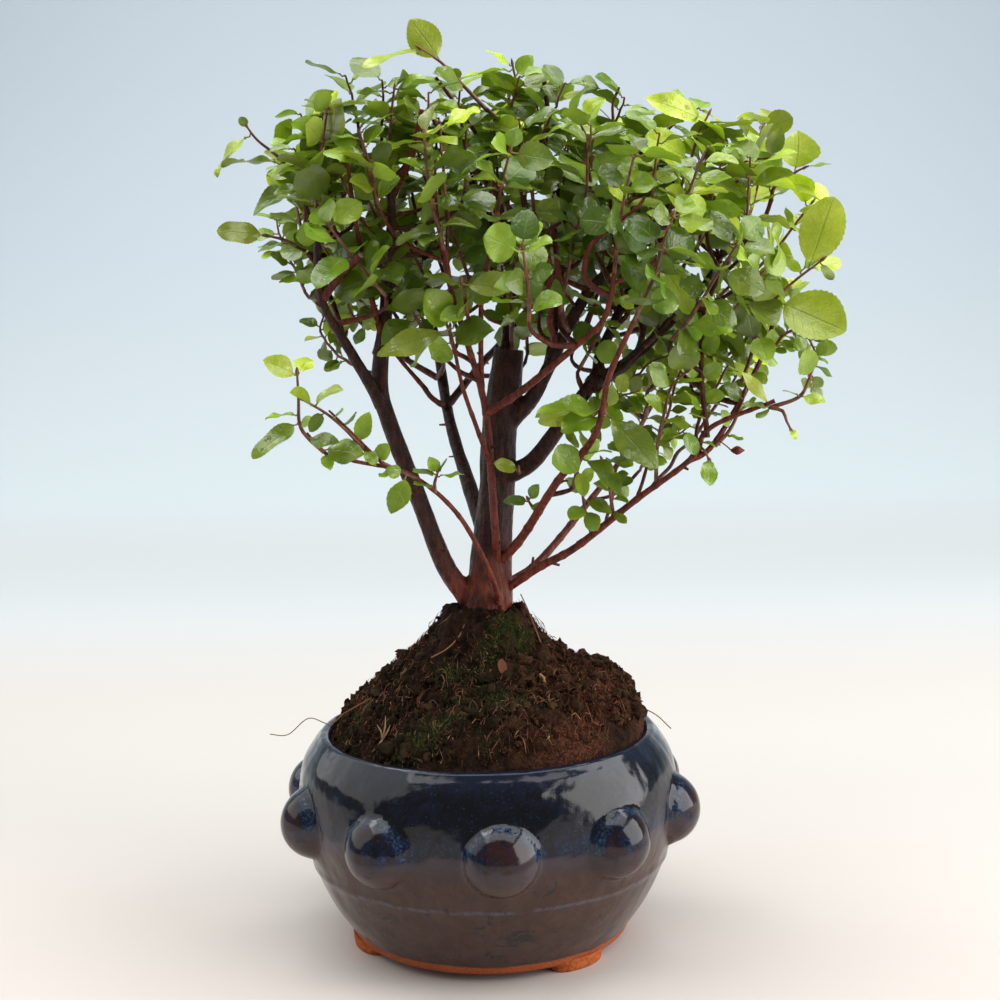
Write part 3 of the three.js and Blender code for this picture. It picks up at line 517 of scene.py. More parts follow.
# Thin sprigs of small leaves: points of the stem, and the leaves' length
SPRIGS = {
    "right_inner": ([(70, -12, 171), (77, -12, 184), (84, -10, 197), (88, -8, 204)], 8),
    "right_low": ([(57, -4, 162), (61, -5, 173), (63, -6, 181), (69, -8, 199)], 7),
    "right_dark": ([(71, 4, 210), (72, 2, 199), (72, 0, 190), (73, -2, 173)], 6),
    "right_tip": (
        [(91, -16, 191), (98, -16, 198), (103, -18, 196), (105, -20, 190), (103, -20, 181)], 6,
    ),
    "under_limb": ([(44, 10, 178), (53, 10, 185), (60, 8, 190), (78, 4, 191)], 7),
    "upward": ([(42, -8, 145), (44, -10, 157), (50, -12, 167), (54, -12, 177)], 6),
    "across": ([(26, -4, 168), (35, -8, 171), (42, -10, 177), (51, -10, 180)], 7),
    "far_right": ([(81, 10, 177), (87, 12, 185), (95, 14, 191), (101, 14, 198)], 7),
    "behind": ([(53, 14, 152), (57, 14, 159), (63, 14, 162), (70, 12, 167)], 6),
    "left_inner": ([(-41, 0, 190), (-47, 4, 194), (-52, 8, 201), (-49, 10, 211)], 7),
    "left_edge": ([(-57, 10, 214), (-60, 14, 221), (-64, 18, 228), (-67, 20, 238)], 8),
    "left_near": ([(-41, -12, 215), (-40, -12, 207), (-35, -12, 201)], 7),
}
SPRIG_STEP = 3.4
TOP_SPRIGS = {
    "above_centre": ([(22, 0, 262), (26, -4, 270), (29, -6, 277)], 11),
    "above_right": ([(42, 4, 260), (46, 0, 267), (48, -4, 272)], 11),
    "right_shoulder": ([(59, 6, 260), (66, 2, 266), (72, 0, 269)], 11),
    "left_top": ([(-37, 4, 264), (-38, 0, 273), (-40, -4, 281)], 12),
    "left_near_top": ([(-29, -6, 264), (-28, -9, 271), (-28, -12, 278)], 11),
    "left_shoulder": ([(-54, 6, 260), (-54, 3, 265), (-55, 0, 270)], 11),
    "middle_top": ([(11, 10, 267), (13, 8, 275), (15, 6, 281)], 11),
    "middle_left_top": ([(-4, 14, 266), (-5, 12, 273), (-4, 10, 280)], 12),
    "right_edge_top": ([(80, 0, 248), (87, -4, 252), (93, -8, 252)], 11),
    "near_left_top": ([(-18, -18, 256), (-14, -22, 264), (-13, -24, 272)], 11),
    "near_centre_top": ([(35, -20, 250), (34, -24, 259), (30, -26, 264)], 11),
    "near_left_shoulder": ([(-45, -14, 248), (-45, -17, 258), (-46, -20, 268)], 11),
}

TOP_ROW = 24
TOP_ROW_ENDS = (-55, 84)
TOP_ROW_DEPTH = (-46, 24)
TOP_ROW_BELOW = 20
TOP_ROW_LEAF = (10, 12.5)

# Each piece's sprays, and the CAD's shoots in whose place they stand
SPRAY_PIECES = {
    "leafy_crest": (("crest", "crest_right"), ("crest",)),
    "leafy_left": (("left_tip", "left_twig", "left_low"), ("left_tip", "left_low")),
    "leafy_right": (
        ("right_fork", "right_round", "right_pale"),
        ("right_fork", "right_round", "right_pale", "low_shoot_up"),
    ),
    "leafy_front": (
        ("front_low", "front_inner", "low_inner", "low_mid", "trunk_sprig", "trunk_low"),
        ("front_hanging", "front_inner", "low_inner", "trunk_sprig"),
    ),
    "leafy_droop": (
        ("droop", "droop_up", "droop_middle", "droop_right"),
        ("droop", "droop_up", "droop_left", "droop_middle", "droop_right"),
    ),
    "leafy_low_right": (
        ("low_shoot", "thread", "low_outer", "low_outer_up", "low_up_fill", "mid_low"),
        ("low_shoot", "low_outer"),
    ),
    "leafy_centre": (("centre_twig", "right_hanging", "centre_low", "centre_mid"), ()),
}

# Cut stubs and bare tips: centre lines and the radii at their two ends
STUBS = {
    "left": ([(-48, -29, 209), (-41, -33, 217), (-34, -38, 223)], (1.35, 1.05)),
    "left_high": ([(-26, -14, 241), (-20, -24, 251), (-17, -29, 258), (-15, -31, 266)], (1.0, 0.8)),
    "middle_high": ([(17, 20, 238), (15, 2, 245), (12, -14, 251), (10, -20, 258)], (0.95, 0.75)),
    "crest_long": ([(10, 20, 233), (5, 2, 253), (-1, -12, 264), (-11, -20, 277)], (0.9, 0.55)),
    "crest_short": ([(8, 20, 243), (-1, -10, 252), (-8, -22, 258), (-12, -25, 264)], (0.85, 0.6)),
    "top_small": ([(23, 18, 259), (24, 12, 271), (23, 8, 280)], (0.9, 0.75)),
    "bud_twig": ([(43, -8, 253), (44, -6, 264), (44, -6, 270), (46, -7, 275)], (0.55, 0.4)),
    "inner_right": ([(26, -20, 209), (25, -24, 220), (24, -26, 231)], (1.0, 0.8)),
}
# Bare red twigs that are seen before the leaves: centre line and radius at the foot
FRONT_TWIGS = {
    "right_of_sucker": (
        [(32, -43, 217), (34, -44, 224), (41, -44, 230), (48, -44, 235), (50, -44, 238)], 0.9,
    ),
    "back": ([(-19, 24, 181), (-25, 26, 188), (-29, 26, 193), (-33, 26, 199)], 0.9),
    "inner": ([(21, 2, 219), (15, 0, 232), (9, -4, 242), (5, -8, 250)], 1.1),
    "right_dark": ([(48, -2, 207), (46, -4, 213), (46, -6, 217)], 0.8),
    "middle": ([(23, -12, 204), (23, -18, 218), (22, -24, 229), (26, -28, 232)], 1.0),
    "left_of_sucker": (
        [(3, -13, 158), (-1, -18, 170), (-5, -23, 183), (-8, -30, 199), (-11, -34, 205)], 0.9,
    ),
    "left_high": ([(-30, -8, 196), (-33, -15, 211), (-36, -26, 232), (-38, -32, 255)], 1.1),
    "centre_high": ([(-4, -28, 199), (-9, -34, 218), (-11, -38, 236), (-11, -42, 250)], 0.7),
    "far_right": ([(74, 6, 236), (83, 2, 245), (92, -2, 251)], 0.8),
}
BUD_STALK = [(70, -29, 164), (73, -30, 165), (76, -31, 163), (77, -31, 162)]
BUD_TIP = (81, -32, 162)

# Crown: the middles of the leafy shoots lie between two outlines seen from the front
CROWN_TOP = [
    (-70, 243), (-50, 255), (-20, 264), (10, 264), (45, 260), (80, 253), (100, 238), (108, 222),
]
CROWN_BOTTOM = [
    (-70, 238), (-55, 216), (-35, 203), (-5, 197), (30, 197), (60, 190), (90, 186), (108, 205),
]
CROWN_MIDDLE = 16
CROWN_HALF_WIDTH = 84
CROWN_HALF_DEPTH = 66
CROWN_ROUNDING = 16
CROWN_HEIGHTS = (185, 280)
CROWN_SHOOTS = 23
CROWN_TRIES = 30
CROWN_LEAF = 14
CROWN_LIFT = 0.15
HEART = np.array([14.0, 0.0, 168.0])
CROWN_REACH = np.array([92.0, 78.0, 105.0])
FILL_BOTTOM = [
    (-70, 240), (-55, 224), (-38, 212), (-15, 206), (5, 210), (25, 204), (45, 194), (88, 184), (104, 198),
]
FILL_DEPTH = (-16, 66)
FILL_HEIGHTS = (172, 280)
FILL_LEAF = (8.5, 12.5)
FILL_SHOOTS = 36
FILL_GROUPS = 6
SHOOTS_A_PIECE = 3

# Leafy shoots
SHOOT_STEM = (0.68, 0.36)
SPRAY_STEM = (0.72, 0.36)
SPRIG_STEM = (0.55, 0.3)
STEM_HALF = 0.65
STEM_STEP = 8
STEM_FIRST_STEP = 0.7
STEM_STEPS = (0.85, 1.15)
STEM_SWAY = (-0.15, 0.15)
STEM_RISE = 0.12
STEM_TURN = (-0.2, 0.2)
SEAT_GAP = 0.3
SHOOT_MIDDLE = 0.6
TIP_LEAF = 0.9
TWIG_BEND = 0.45
TWIG_START_BELOW = 8
TWIG_HIGH_START = 0.9
LEAF_WIDTH = 0.84
LEAF_FOLD = 0.34
LEAF_LEAN = (0.1, 0.9)
LEAF_HANG = (-0.25, 0.55)
LEAF_SWING = (-0.45, 0.45)
LEAF_SIZES = (0.75, 1.25)
MORE_LEAVES = 0.92
LIGHT_OUTWARD = 1.1
LIGHT_HEIGHT = 0.8
LIGHT_SCATTER = (-0.55, 0.55)
LEAF_THICKNESS = 0.22
PETIOLE_LENGTH = (0.09, 0.15)
PETIOLE_RADII = (0.34, 0.2)
LEAF_SPREAD = (0.86, 1.16)
LEAF_DROOP = (0.16, 0.13)
LEAF_WAVE = (0.02, 0.055)
# For leaves by rule, and for leaves listed one by one
LEAF_ROLL = (0.45, 0.10)
LEAF_TWIST = (0.28, 0.15)
DROOP_SHARE = (1.0, 0.6)
LEAF_SHRINK = 0.87
LEAF_ROWS = ((9, 10), (13.5, 14), (99, 24))
LEAF_COLUMNS = 4
SKY_ABOVE = (205, 258)
OLD_LEAVES = 0.011
WET_LEAVES = 0.45
DROP_SIDES = 7
DROP_RINGS = 3
DROP_HEIGHT = 0.55
DROP_SIZES = (0.03, 0.07)


def place(points):
    """Millimetres from the pot's axis to metres in the frame."""
    return (np.asarray(points, float) + POT_AXIS) / 1000


def unit(vector):
    return vector / np.linalg.norm(vector)


def random_run(seed):
    """A repeatable run of numbers from 0 to 1, the same one that places the CAD's shoots."""
    state = seed

    def draw():
        nonlocal state
        state = (state * RUN_FACTOR + RUN_STEP) % RUN_SIZE
        return state / RUN_SIZE

    return draw


def between(limits, draw):
    return limits[0] + (limits[1] - limits[0]) * draw()


def along_line(points, x):
    return float(np.interp(x, [p[0] for p in points], [p[1] for p in points]))


def rough(points, scale, octaves=1, offset=0.0):
    """Perlin noise at each point, about -1 to 1; scale is the size of its lumps in millimetres."""
    total = np.zeros(len(points))
    for octave in range(octaves):
        size = scale / 2**octave
        shift = offset + 17.3 * octave
        values = [noise.noise(Vector((p[0] / size + shift, p[1] / size, p[2] / size))) for p in points]
        total += np.array(values) / 2**octave
    return total


def waves(points, rows, total=0.0):
    """Noise added up: each row gives its height, the size of its lumps, its octaves and its shift."""
    for height, *shape in rows:
        total = total + height * rough(points, *shape)
    return total


def link(name, data):
    made = bpy.data.objects.new(name, data)
    bpy.context.scene.collection.objects.link(made)
    return made


class Shape:
    """A mesh gathered from parts: points, faces of three or four corners, slots, colours and uvs."""

    def __init__(self):
        self.points, self.corners, self.sizes = [], [], []
        self.slots, self.tints, self.uvs = [], [], []
        self.count = 0

    def add(self, points, faces, slot=0, tint=(0.5, 0.5, 0.5, 0.0), uv=None):
        points = np.asarray(points, float)
        self.points.append(points)
        for block in faces:
            block = np.asarray(block, int)
            if len(block) == 0:
                continue
            self.corners.append((block + self.count).ravel())
            self.sizes.append(np.full(len(block), block.shape[1]))
            self.slots.append(np.full(len(block), slot))
        tint = np.asarray(tint, float)
        self.tints.append(np.broadcast_to(tint, (len(points), 4)) if tint.ndim == 1 else tint)
        self.uvs.append(np.zeros((len(points), 2)) if uv is None else np.asarray(uv, float))
        self.count += len(points)

    def piece(self, name, materials, smooth=True):
        """The Blender object, in the frame's metres."""
        points = place(np.concatenate(self.points))
        corners = np.concatenate(self.corners)
        sizes = np.concatenate(self.sizes)
        starts = np.concatenate([[0], np.cumsum(sizes)[:-1]])
        mesh = bpy.data.meshes.new(name)
        mesh.vertices.add(len(points))
        mesh.vertices.foreach_set("co", points.ravel())
        mesh.loops.add(len(corners))
        mesh.loops.foreach_set("vertex_index", corners)
        mesh.polygons.add(len(sizes))
        mesh.polygons.foreach_set("loop_start", starts)
        mesh.polygons.foreach_set("loop_total", sizes)
        mesh.polygons.foreach_set("material_index", np.concatenate(self.slots))
        mesh.polygons.foreach_set("use_smooth", np.full(len(sizes), smooth))
        mesh.update(calc_edges=True)
        mesh.set_sharp_from_angle(angle=SHARP_ANGLE)
        uv = mesh.uv_layers.new(name="uv")
        uv.data.foreach_set("uv", np.concatenate(self.uvs)[corners].ravel())
        tint = mesh.color_attributes.new(name="tint", type="FLOAT_COLOR", domain="POINT")
        tint.data.foreach_set("color", np.concatenate(self.tints).ravel())
        mesh.validate()
        made = link(name, mesh)
        for material in materials:
            mesh.materials.append(material)
        return made


def grid_faces(rows, columns, ring=False, turned=False):
    """Quads of a grid of points; ring joins its last column to its first."""
    wide = columns if ring else columns - 1
    r, c = np.meshgrid(np.arange(rows - 1), np.arange(wide), indexing="ij")
    here = (r * columns + c).ravel()
    right = (r * columns + (c + 1) % columns).ravel()
    above = here + columns
    above_right = right + columns
    quads = np.stack([here, right, above_right, above], axis=1)
    return quads[:, ::-1] if turned else quads


def smooth_line(points, step):
    """A smooth curve through points, with a point about every step along it."""
    points = np.asarray(points, float)
    ends = [2 * points[0] - points[1], *points, 2 * points[-1] - points[-2]]
    out, where = [], []
    for i in range(len(points) - 1):
        a, b, c, d = ends[i : i + 4]
        parts = max(1, int(round(np.linalg.norm(c - b) / step)))
        for k in range(parts):
            t = k / parts
            curve = 2 * b + (c - a) * t + (2 * a - 5 * b + 4 * c - d) * t**2
            out.append(0.5 * (curve + (3 * b - a - 3 * c + d) * t**3))
            where.append(i + t)
    out.append(points[-1])
    where.append(len(points) - 1)
    return np.array(out), np.array(where)


def square_to(vector, axis):
    return unit(vector - vector.dot(axis) * axis)


def across_of(direction):
    return square_to(np.array([0.31, 0.95, 0.05]), direction)


def turns(sides):
    return 2 * np.pi * np.arange(sides) / sides


def circle(across, other, sides):
    turn = turns(sides)[:, None]
    return np.cos(turn) * across + np.sin(turn) * other


def fan(hub, start, sides, turned=False):
    """Triangles that join a hub to a ring of points."""
    here = start + np.arange(sides)
    after = start + (np.arange(sides) + 1) % sides
    pair = (after, here) if turned else (here, after)
    return np.stack([np.full(sides, hub), *pair], axis=1)


def closed(rings, ends, turned=False):
    """Rings of points joined into one skin, closed towards a point at each end."""
    sides = len(rings[0])
    count = len(rings) * sides
    quads = grid_faces(len(rings), sides, ring=True, turned=turned)
    caps = [fan(count, 0, sides, not turned), fan(count + 1, count - sides, sides, turned)]
    return np.concatenate([*rings, ends]), (quads, np.concatenate(caps))


def tube(points, radii, sides):
    """Rings of points square to a line, closed at both ends."""
    points = np.asarray(points, float)
    radii = np.broadcast_to(radii, len(points))
    tangents = np.gradient(points, axis=0)
    tangents /= np.linalg.norm(tangents, axis=1)[:, None]
    across = across_of(tangents[0])
    rings = []
    for point, tangent, radius in zip(points, tangents, radii):
        across = square_to(across, tangent)
        rings.append(point + radius * circle(across, np.cross(tangent, across), sides))
    return closed(rings, [points[0], points[-1]])


def run_lengths(line):
    """How far along a line each of its points is."""
    return np.concatenate([[0], np.cumsum(np.linalg.norm(np.diff(line, axis=0), axis=1))])


def three_corners(middle, along, radius):
    side = radius * across_of(along)
    other = np.cross(along, side)
    return [middle + side, middle - 0.5 * side + 0.87 * other, middle - 0.5 * side - 0.87 * other]


def taper(points, ends):
    reach = run_lengths(points)
    return ends[0] + (ends[1] - ends[0]) * reach / reach[-1]


def settle(piece, slot, *nodes):
    """Hangs a finished piece in the frame."""
    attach(piece, "root")
    if nodes:
        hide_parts(*nodes)


# Materials


class Recipe:
    """A material's nodes. An input that is a socket is linked; any other value is set."""

    def __init__(self, name):
        self.material = bpy.data.materials.new(name)
        self.material.use_nodes = True
        self.nodes = self.material.node_tree.nodes
        self.links = self.material.node_tree.links
        self.nodes.clear()

    def feed(self, socket, value):
        if isinstance(value, bpy.types.NodeSocket):
            self.links.new(value, socket)
        else:
            socket.default_value = value

    def node(self, kind, inputs=None, output=0, **settings):
        made = self.nodes.new("ShaderNode" + kind)
        for key, value in settings.items():
            setattr(made, key, value)
        for key, value in (inputs or {}).items():
            self.feed(made.inputs[key], value)
        return made.outputs[output]

    def place(self, scale=(1, 1, 1)):
        """Where a point is, in millimetres from the pot's axis, times scale."""
        spot = self.node("TexCoord", output="Object")
        moved = self.node("VectorMath", {0: spot, 1: tuple(-POT_AXIS / 1000)}, operation="ADD")
        inputs = {0: moved, 1: tuple(1000 * s for s in scale)}
        return self.node("VectorMath", inputs, operation="MULTIPLY")

    def noise(self, vector, scale, detail=2.0, roughness=0.5, output="Fac", distortion=0.0):
        inputs = {"Vector": vector, "Scale": scale, "Detail": detail, "Roughness": roughness}
        inputs["Distortion"] = distortion
        return self.node("TexNoise", inputs, output=output)

    def cells(self, vector, scale, feature="F1", output="Distance"):
        inputs = {"Vector": vector, "Scale": scale}
        return self.node("TexVoronoi", inputs, output=output, feature=feature)

    def math(self, operation, a, b=0.0, clamp=False):
        return self.node("Math", {0: a, 1: b}, operation=operation, use_clamp=clamp)

    def both(self, a, b, clamp=False):
        return self.math("MULTIPLY", a, b, clamp)

    def ramp(self, value, low, high, bottom=0.0, top=1.0):
        """A smooth step from bottom to top as value goes from low to high."""
        inputs = {"Value": value, "From Min": low, "From Max": high, "To Min": bottom, "To Max": top}
        return self.node("MapRange", inputs, interpolation_type="SMOOTHSTEP")

    def mix(self, share, a, b, blend="MIX"):
        made = self.nodes.new("ShaderNodeMix")
        made.data_type = "RGBA"
        made.blend_type = blend
        for key, value in ((0, share), (6, a), (7, b)):
            if isinstance(value, tuple) and len(value) == 3:
                value = (*value, 1)
            self.feed(made.inputs[key], value)
        return made.outputs[2]

    def veil(self, under, over, mask, share):
        """One colour over another where mask is, as far as share."""
        return self.mix(self.both(mask, share), under, over)

    def bump(self, height, strength, distance, normal=None):
        inputs = {"Height": height, "Strength": strength, "Distance": distance}
        if normal is not None:
            inputs["Normal"] = normal
        return self.node("Bump", inputs)

    def tint(self):
        """The piece's own red, green, blue and alpha marks."""
        made = self.nodes.new("ShaderNodeAttribute")
        made.attribute_name = "tint"
        split = self.node("SeparateColor", {0: made.outputs["Color"]}, output=0).node
        return split.outputs[0], split.outputs[1], split.outputs[2], made.outputs["Alpha"]

    def principled(self, color, roughness, normal=None, specular=None):
        inputs = {"Base Color": color, "Roughness": roughness}
        if normal is not None:
            inputs["Normal"] = normal
        if specular is not None:
            inputs["Specular IOR Level"] = specular
        return self.node("BsdfPrincipled", inputs)

    def surface(self, shader):
        out = self.nodes.new("ShaderNodeOutputMaterial")
        self.links.new(shader, out.inputs["Surface"])
        return self.material


def glaze_material():
    """Dark blue glaze over the shoulder and the knobs, thin brown glaze below, bare clay at the foot."""
    r = Recipe("glaze")
    spot = r.place()
    height = r.node("SeparateXYZ", {0: spot}, output="Z")
    upper, knob, edge, _ = r.tint()
    flow = r.noise(spot, 0.07, 4, 0.6)
    speck = r.noise(spot, 1.1, 4, 0.75)
    fine = r.noise(spot, 3.2, 2, 0.6)
    mottle = r.noise(spot, 0.22, 5, 0.65, distortion=0.6)
    run = r.noise(r.place((1, 1, 0.35)), 0.35, 4, 0.65)
    navy = r.mix(r.ramp(mottle, 0.42, 0.66), (0.0022, 0.0020, 0.0034), (0.0040, 0.0050, 0.0130))
    blue = r.mix(r.ramp(speck, 0.48, 0.70), (0.005, 0.009, 0.028), (0.020, 0.052, 0.125))
    dark = r.veil(navy, blue, r.ramp(speck, 0.55, 0.72), 0.50)
    band = r.both(r.ramp(height, 54, 45), r.ramp(run, 0.36, 0.60), clamp=True)
    dark = r.veil(dark, blue, band, 0.85)
    dark = r.veil(dark, (0.014, 0.022, 0.048), r.ramp(height, 62, 69), 0.35)
    rust = r.both(r.ramp(knob, 0.30, 0.65), r.ramp(flow, 0.40, 0.60), clamp=True)
    dark = r.veil(dark, (0.030, 0.0085, 0.0045), rust, 0.7)
    halo = r.both(edge, r.ramp(speck, 0.42, 0.62), clamp=True)
    dark = r.veil(dark, (0.045, 0.085, 0.175), halo, 0.7)
    lower = r.mix(r.ramp(mottle, 0.35, 0.7), (0.045, 0.0205, 0.0150), (0.062, 0.0310, 0.0232))
    lower = r.veil(lower, (0.056, 0.033, 0.030), r.ramp(flow, 0.5, 0.72), 0.45)
    smudge = r.both(r.ramp(r.noise(spot, 0.13, 5, 0.7, distortion=1.0), 0.57, 0.62), 0.85)
    lower = r.mix(smudge, lower, (0.016, 0.013, 0.017))
    lower = r.veil(lower, (0.19, 0.125, 0.075), r.ramp(fine, 0.71, 0.77), 0.6)
    under_line = r.both(r.ramp(height, 36, 43), 0.55)
    lower = r.mix(under_line, lower, (0.036, 0.034, 0.052))
    ring = r.math("SUBTRACT", height, r.math("ADD", RING_HEIGHT - 1.4, r.both(flow, 2.8)))
    ring = r.both(r.ramp(r.math("ABSOLUTE", ring), 1.0, 0.2), r.ramp(run, 0.38, 0.55))
    lower = r.veil(lower, (0.100, 0.100, 0.140), ring, 0.45)
    glaze = r.mix(upper, lower, dark)
    iron = r.mix(r.ramp(speck, 0.35, 0.7), (0.28, 0.056, 0.014), (0.46, 0.115, 0.032))
    rim = r.math("ADD", height, r.both(flow, 2.2))
    foot = r.ramp(rim, 7.2, 6.2)
    color = r.mix(foot, glaze, iron)
    satin = r.ramp(flow, 0.35, 0.7, 0.16, 0.26)
    roughness = r.mix(foot, r.mix(upper, satin, (0.11, 0.11, 0.11)), (0.75, 0.75, 0.75))
    wave = r.bump(r.noise(spot, 0.10, 2, 0.4), 0.35, 0.0022)
    pits = r.bump(r.noise(spot, 1.4, 3, 0.6), 0.06, 0.0003, wave)
    return r.surface(r.principled(color, roughness, pits, specular=0.34))


def clay_material():
    r = Recipe("bare_clay")
    spot = r.place()
    grain = r.noise(spot, 0.8, 4, 0.7)
    color = r.mix(r.ramp(grain, 0.35, 0.7), (0.30, 0.064, 0.016), (0.52, 0.140, 0.040))
    return r.surface(r.principled(color, 0.85, r.bump(grain, 0.4, 0.0006), specular=0.15))


def soil_material():
    r = Recipe("peat")
    spot = r.place()
    moss, red, dry, _ = r.tint()
    coarse = r.noise(spot, 0.25, 5, 0.7)
    fine = r.noise(spot, 1.3, 4, 0.75)
    strands = r.noise(r.place((0.25, 1.4, 0.7)), 0.9, 4, 0.7, distortion=1.4)
    color = r.mix(r.ramp(coarse, 0.35, 0.68), (0.0065, 0.0031, 0.0019), (0.042, 0.0195, 0.0108))
    color = r.veil(color, (0.165, 0.050, 0.027), red, r.ramp(fine, 0.42, 0.66))
    color = r.veil(color, (0.11, 0.060, 0.030), r.ramp(strands, 0.62, 0.74), 0.45)
    color = r.veil(color, (0.020, 0.036, 0.007), moss, r.ramp(fine, 0.35, 0.6))
    color = r.mix(dry, color, (0.13, 0.085, 0.045))
    bumps = r.bump(fine, 0.9, 0.0009, r.bump(coarse, 0.7, 0.0022))
    return r.surface(r.principled(color, 0.9, bumps, specular=0.08))


def bark_material():
    r = Recipe("bark")
    spot = r.place()
    height = r.node("SeparateXYZ", {0: spot}, output="Z")
    young, cut, _, _ = r.tint()
    streaks = r.noise(r.place((1, 1, 0.22)), 0.75, 5, 0.65)
    patches = r.noise(spot, 0.13, 3, 0.6)
    fine = r.noise(spot, 1.6, 4, 0.7)
    dark = r.mix(r.ramp(streaks, 0.36, 0.70), (0.0120, 0.0036, 0.0024), (0.064, 0.0178, 0.0108))
    red = r.mix(r.ramp(streaks, 0.3, 0.7), (0.062, 0.0115, 0.0062), (0.225, 0.043, 0.021))
    base = r.both(r.ramp(height, 138, 108), r.ramp(patches, 0.3, 0.6))
    color = r.mix(r.math("MAXIMUM", young, base, clamp=True), dark, red)
    grey = r.both(r.ramp(patches, 0.56, 0.72), r.ramp(fine, 0.45, 0.65))
    color = r.veil(color, (0.070, 0.034, 0.020), grey, 0.35)
    lenticel = r.ramp(r.cells(r.place((1, 1, 1.6)), 0.5), 0.16, 0.08)
    color = r.veil(color, (0.13, 0.065, 0.035), lenticel, 0.3)
    color = r.veil(color, (0.26, 0.15, 0.085), cut, 0.8)
    bumps = r.bump(fine, 0.45, 0.0004, r.bump(streaks, 0.8, 0.0010))
    gloss = r.ramp(r.noise(spot, 0.45, 3, 0.6), 0.40, 0.60, 0.50, 0.24)
    return r.surface(r.principled(color, gloss, bumps, specular=0.22))


def stem_material():
    r = Recipe("green_stem")
    tone = r.noise(r.place(), 0.35, 2, 0.5)
    young, _, _, _ = r.tint()
    color = r.mix(r.ramp(tone, 0.4, 0.6), (0.090, 0.025, 0.012), (0.200, 0.066, 0.026))
    color = r.mix(r.ramp(young, 0.3, 1.0), color, (0.26, 0.25, 0.050))
    return r.surface(r.principled(color, 0.4))


def leaf_material():
    """Fresh leaf: veins from the blade's own uv, a pale underside, light coming through."""
    r = Recipe("leaf")
    spot = r.place()
    age_and_light, bright, dry, under = r.tint()
    uv = r.node("TexCoord", output="UV")
    split = r.node("SeparateXYZ", {0: uv}, output=0).node
    along, side = split.outputs[0], split.outputs[1]
    off_rib = r.math("ABSOLUTE", r.math("SUBTRACT", side, 0.5))
    rib = r.ramp(off_rib, 0.030, 0.010)
    lean = r.math("SUBTRACT", along, r.both(off_rib, 0.62))
    wave = r.math("FRACT", r.both(lean, 6.0))
    vein = r.ramp(r.math("ABSOLUTE", r.math("SUBTRACT", wave, 0.5)), 0.07, 0.015)
    vein = r.both(vein, r.ramp(off_rib, 0.46, 0.25))
    lines = r.math("MAXIMUM", rib, r.both(vein, 0.5))
    net = r.noise(spot, 2.2, 2, 0.5)
    patch = r.noise(spot, 0.16, 3, 0.6)
    shade = r.ramp(patch, 0.35, 0.7)
    # Colours from old to new leaves. The first tint mark also carries painted light, and the lightest new
    # colours stand for lit and backlit leaves.
    old = r.mix(shade, (0.090, 0.180, 0.016), (0.160, 0.285, 0.026))
    middle = r.mix(shade, (0.260, 0.400, 0.030), (0.390, 0.540, 0.046))
    new = r.mix(shade, (0.600, 0.720, 0.045), (0.780, 0.860, 0.110))
    color = r.mix(r.ramp(age_and_light, 0.05, 0.5), old, middle)
    color = r.mix(r.ramp(age_and_light, 0.5, 1.0), color, new)
    light_lines = r.veil(color, (0.36, 0.46, 0.12), lines, 0.34)
    dark_lines = r.veil(color, (0.20, 0.30, 0.012), lines, 0.40)
    color = r.mix(r.ramp(age_and_light, 0.45, 0.75), light_lines, dark_lines)
    color = r.veil(color, (0.045, 0.090, 0.008), r.ramp(net, 0.4, 0.65), 0.15)
    color = r.mix(dry, color, (0.62, 0.36, 0.10))
    pale = r.mix(0.40, color, (0.36, 0.45, 0.15))
    color = r.mix(under, color, pale)
    value = r.ramp(bright, 0, 1, 0.56, 1.40)
    tone = r.node("HueSaturation", {"Value": value, "Color": color})
    quilt = r.noise(spot, 0.55, 2, 0.5)
    relief = r.math("SUBTRACT", r.both(net, 0.25), lines)
    bumps = r.bump(relief, 0.35, 0.0004, r.bump(quilt, 0.30, 0.0008))
    wet = r.ramp(r.noise(spot, 0.30, 3, 0.6), 0.40, 0.62, 0.26, 0.10)
    gloss = r.principled(tone, wet, bumps, specular=0.95)
    through = r.mix(0.4, tone, (0.58, 0.68, 0.05))
    glow = r.node("BsdfTranslucent", {"Color": through})
    return r.surface(r.node("MixShader", {0: 0.43, 1: gloss, 2: glow}))


def moss_material():
    r = Recipe("moss")
    tone = r.noise(r.place(), 0.5, 3, 0.6)
    color = r.mix(r.ramp(tone, 0.35, 0.65), (0.018, 0.026, 0.005), (0.100, 0.130, 0.018))
    return r.surface(r.principled(color, 0.8))


def fibre_material():
    r = Recipe("root_hair")
    red, tan, _, _ = r.tint()
    color = r.mix(red, (0.024, 0.0105, 0.0060), (0.210, 0.066, 0.036))
    color = r.mix(tan, color, (0.36, 0.21, 0.11))
    return r.surface(r.principled(color, 0.75, specular=0.15))


def water_material():
    r = Recipe("water")
    inputs = {"Base Color": (1, 1, 1, 1), "Roughness": 0.02, "IOR": 1.33, "Transmission Weight": 1.0}
    return r.surface(r.node("BsdfPrincipled", inputs))


# Pot


def pot_rows():
    """The profile as rows of (radius, height), and which of them are the outer wall."""
    foot = [(FOOT_RING_INNER, UNDERSIDE_HEIGHT), *FOOT_RING]
    wall = list(zip(*outer_wall()))
    lip = []
    for angle in np.radians(np.arange(*POT_LIP_DEGREES)):
        radius = POT_LIP_MIDDLE[0] + POT_LIP_RADIUS * math.cos(angle)
        lip.append((radius, POT_LIP_MIDDLE[1] + POT_LIP_RADIUS * math.sin(angle)))
    inner, _ = smooth_line([(*point, 0) for point in POT_INSIDE], 3)
    floor = [(POT_FLOOR_RADIUS, 9), (DRAIN_RADIUS + 0.6, 9), (DRAIN_RADIUS, 8.4), (DRAIN_RADIUS, 5.6)]
    under = [(DRAIN_RADIUS + 0.6, UNDERSIDE_HEIGHT), (POT_FLOOR_RADIUS, UNDERSIDE_HEIGHT)]
    rows = foot + wall + lip + [tuple(point[:2]) for point in inner[1:]] + floor + under
    return np.array(rows), len(foot), len(foot) + len(wall)


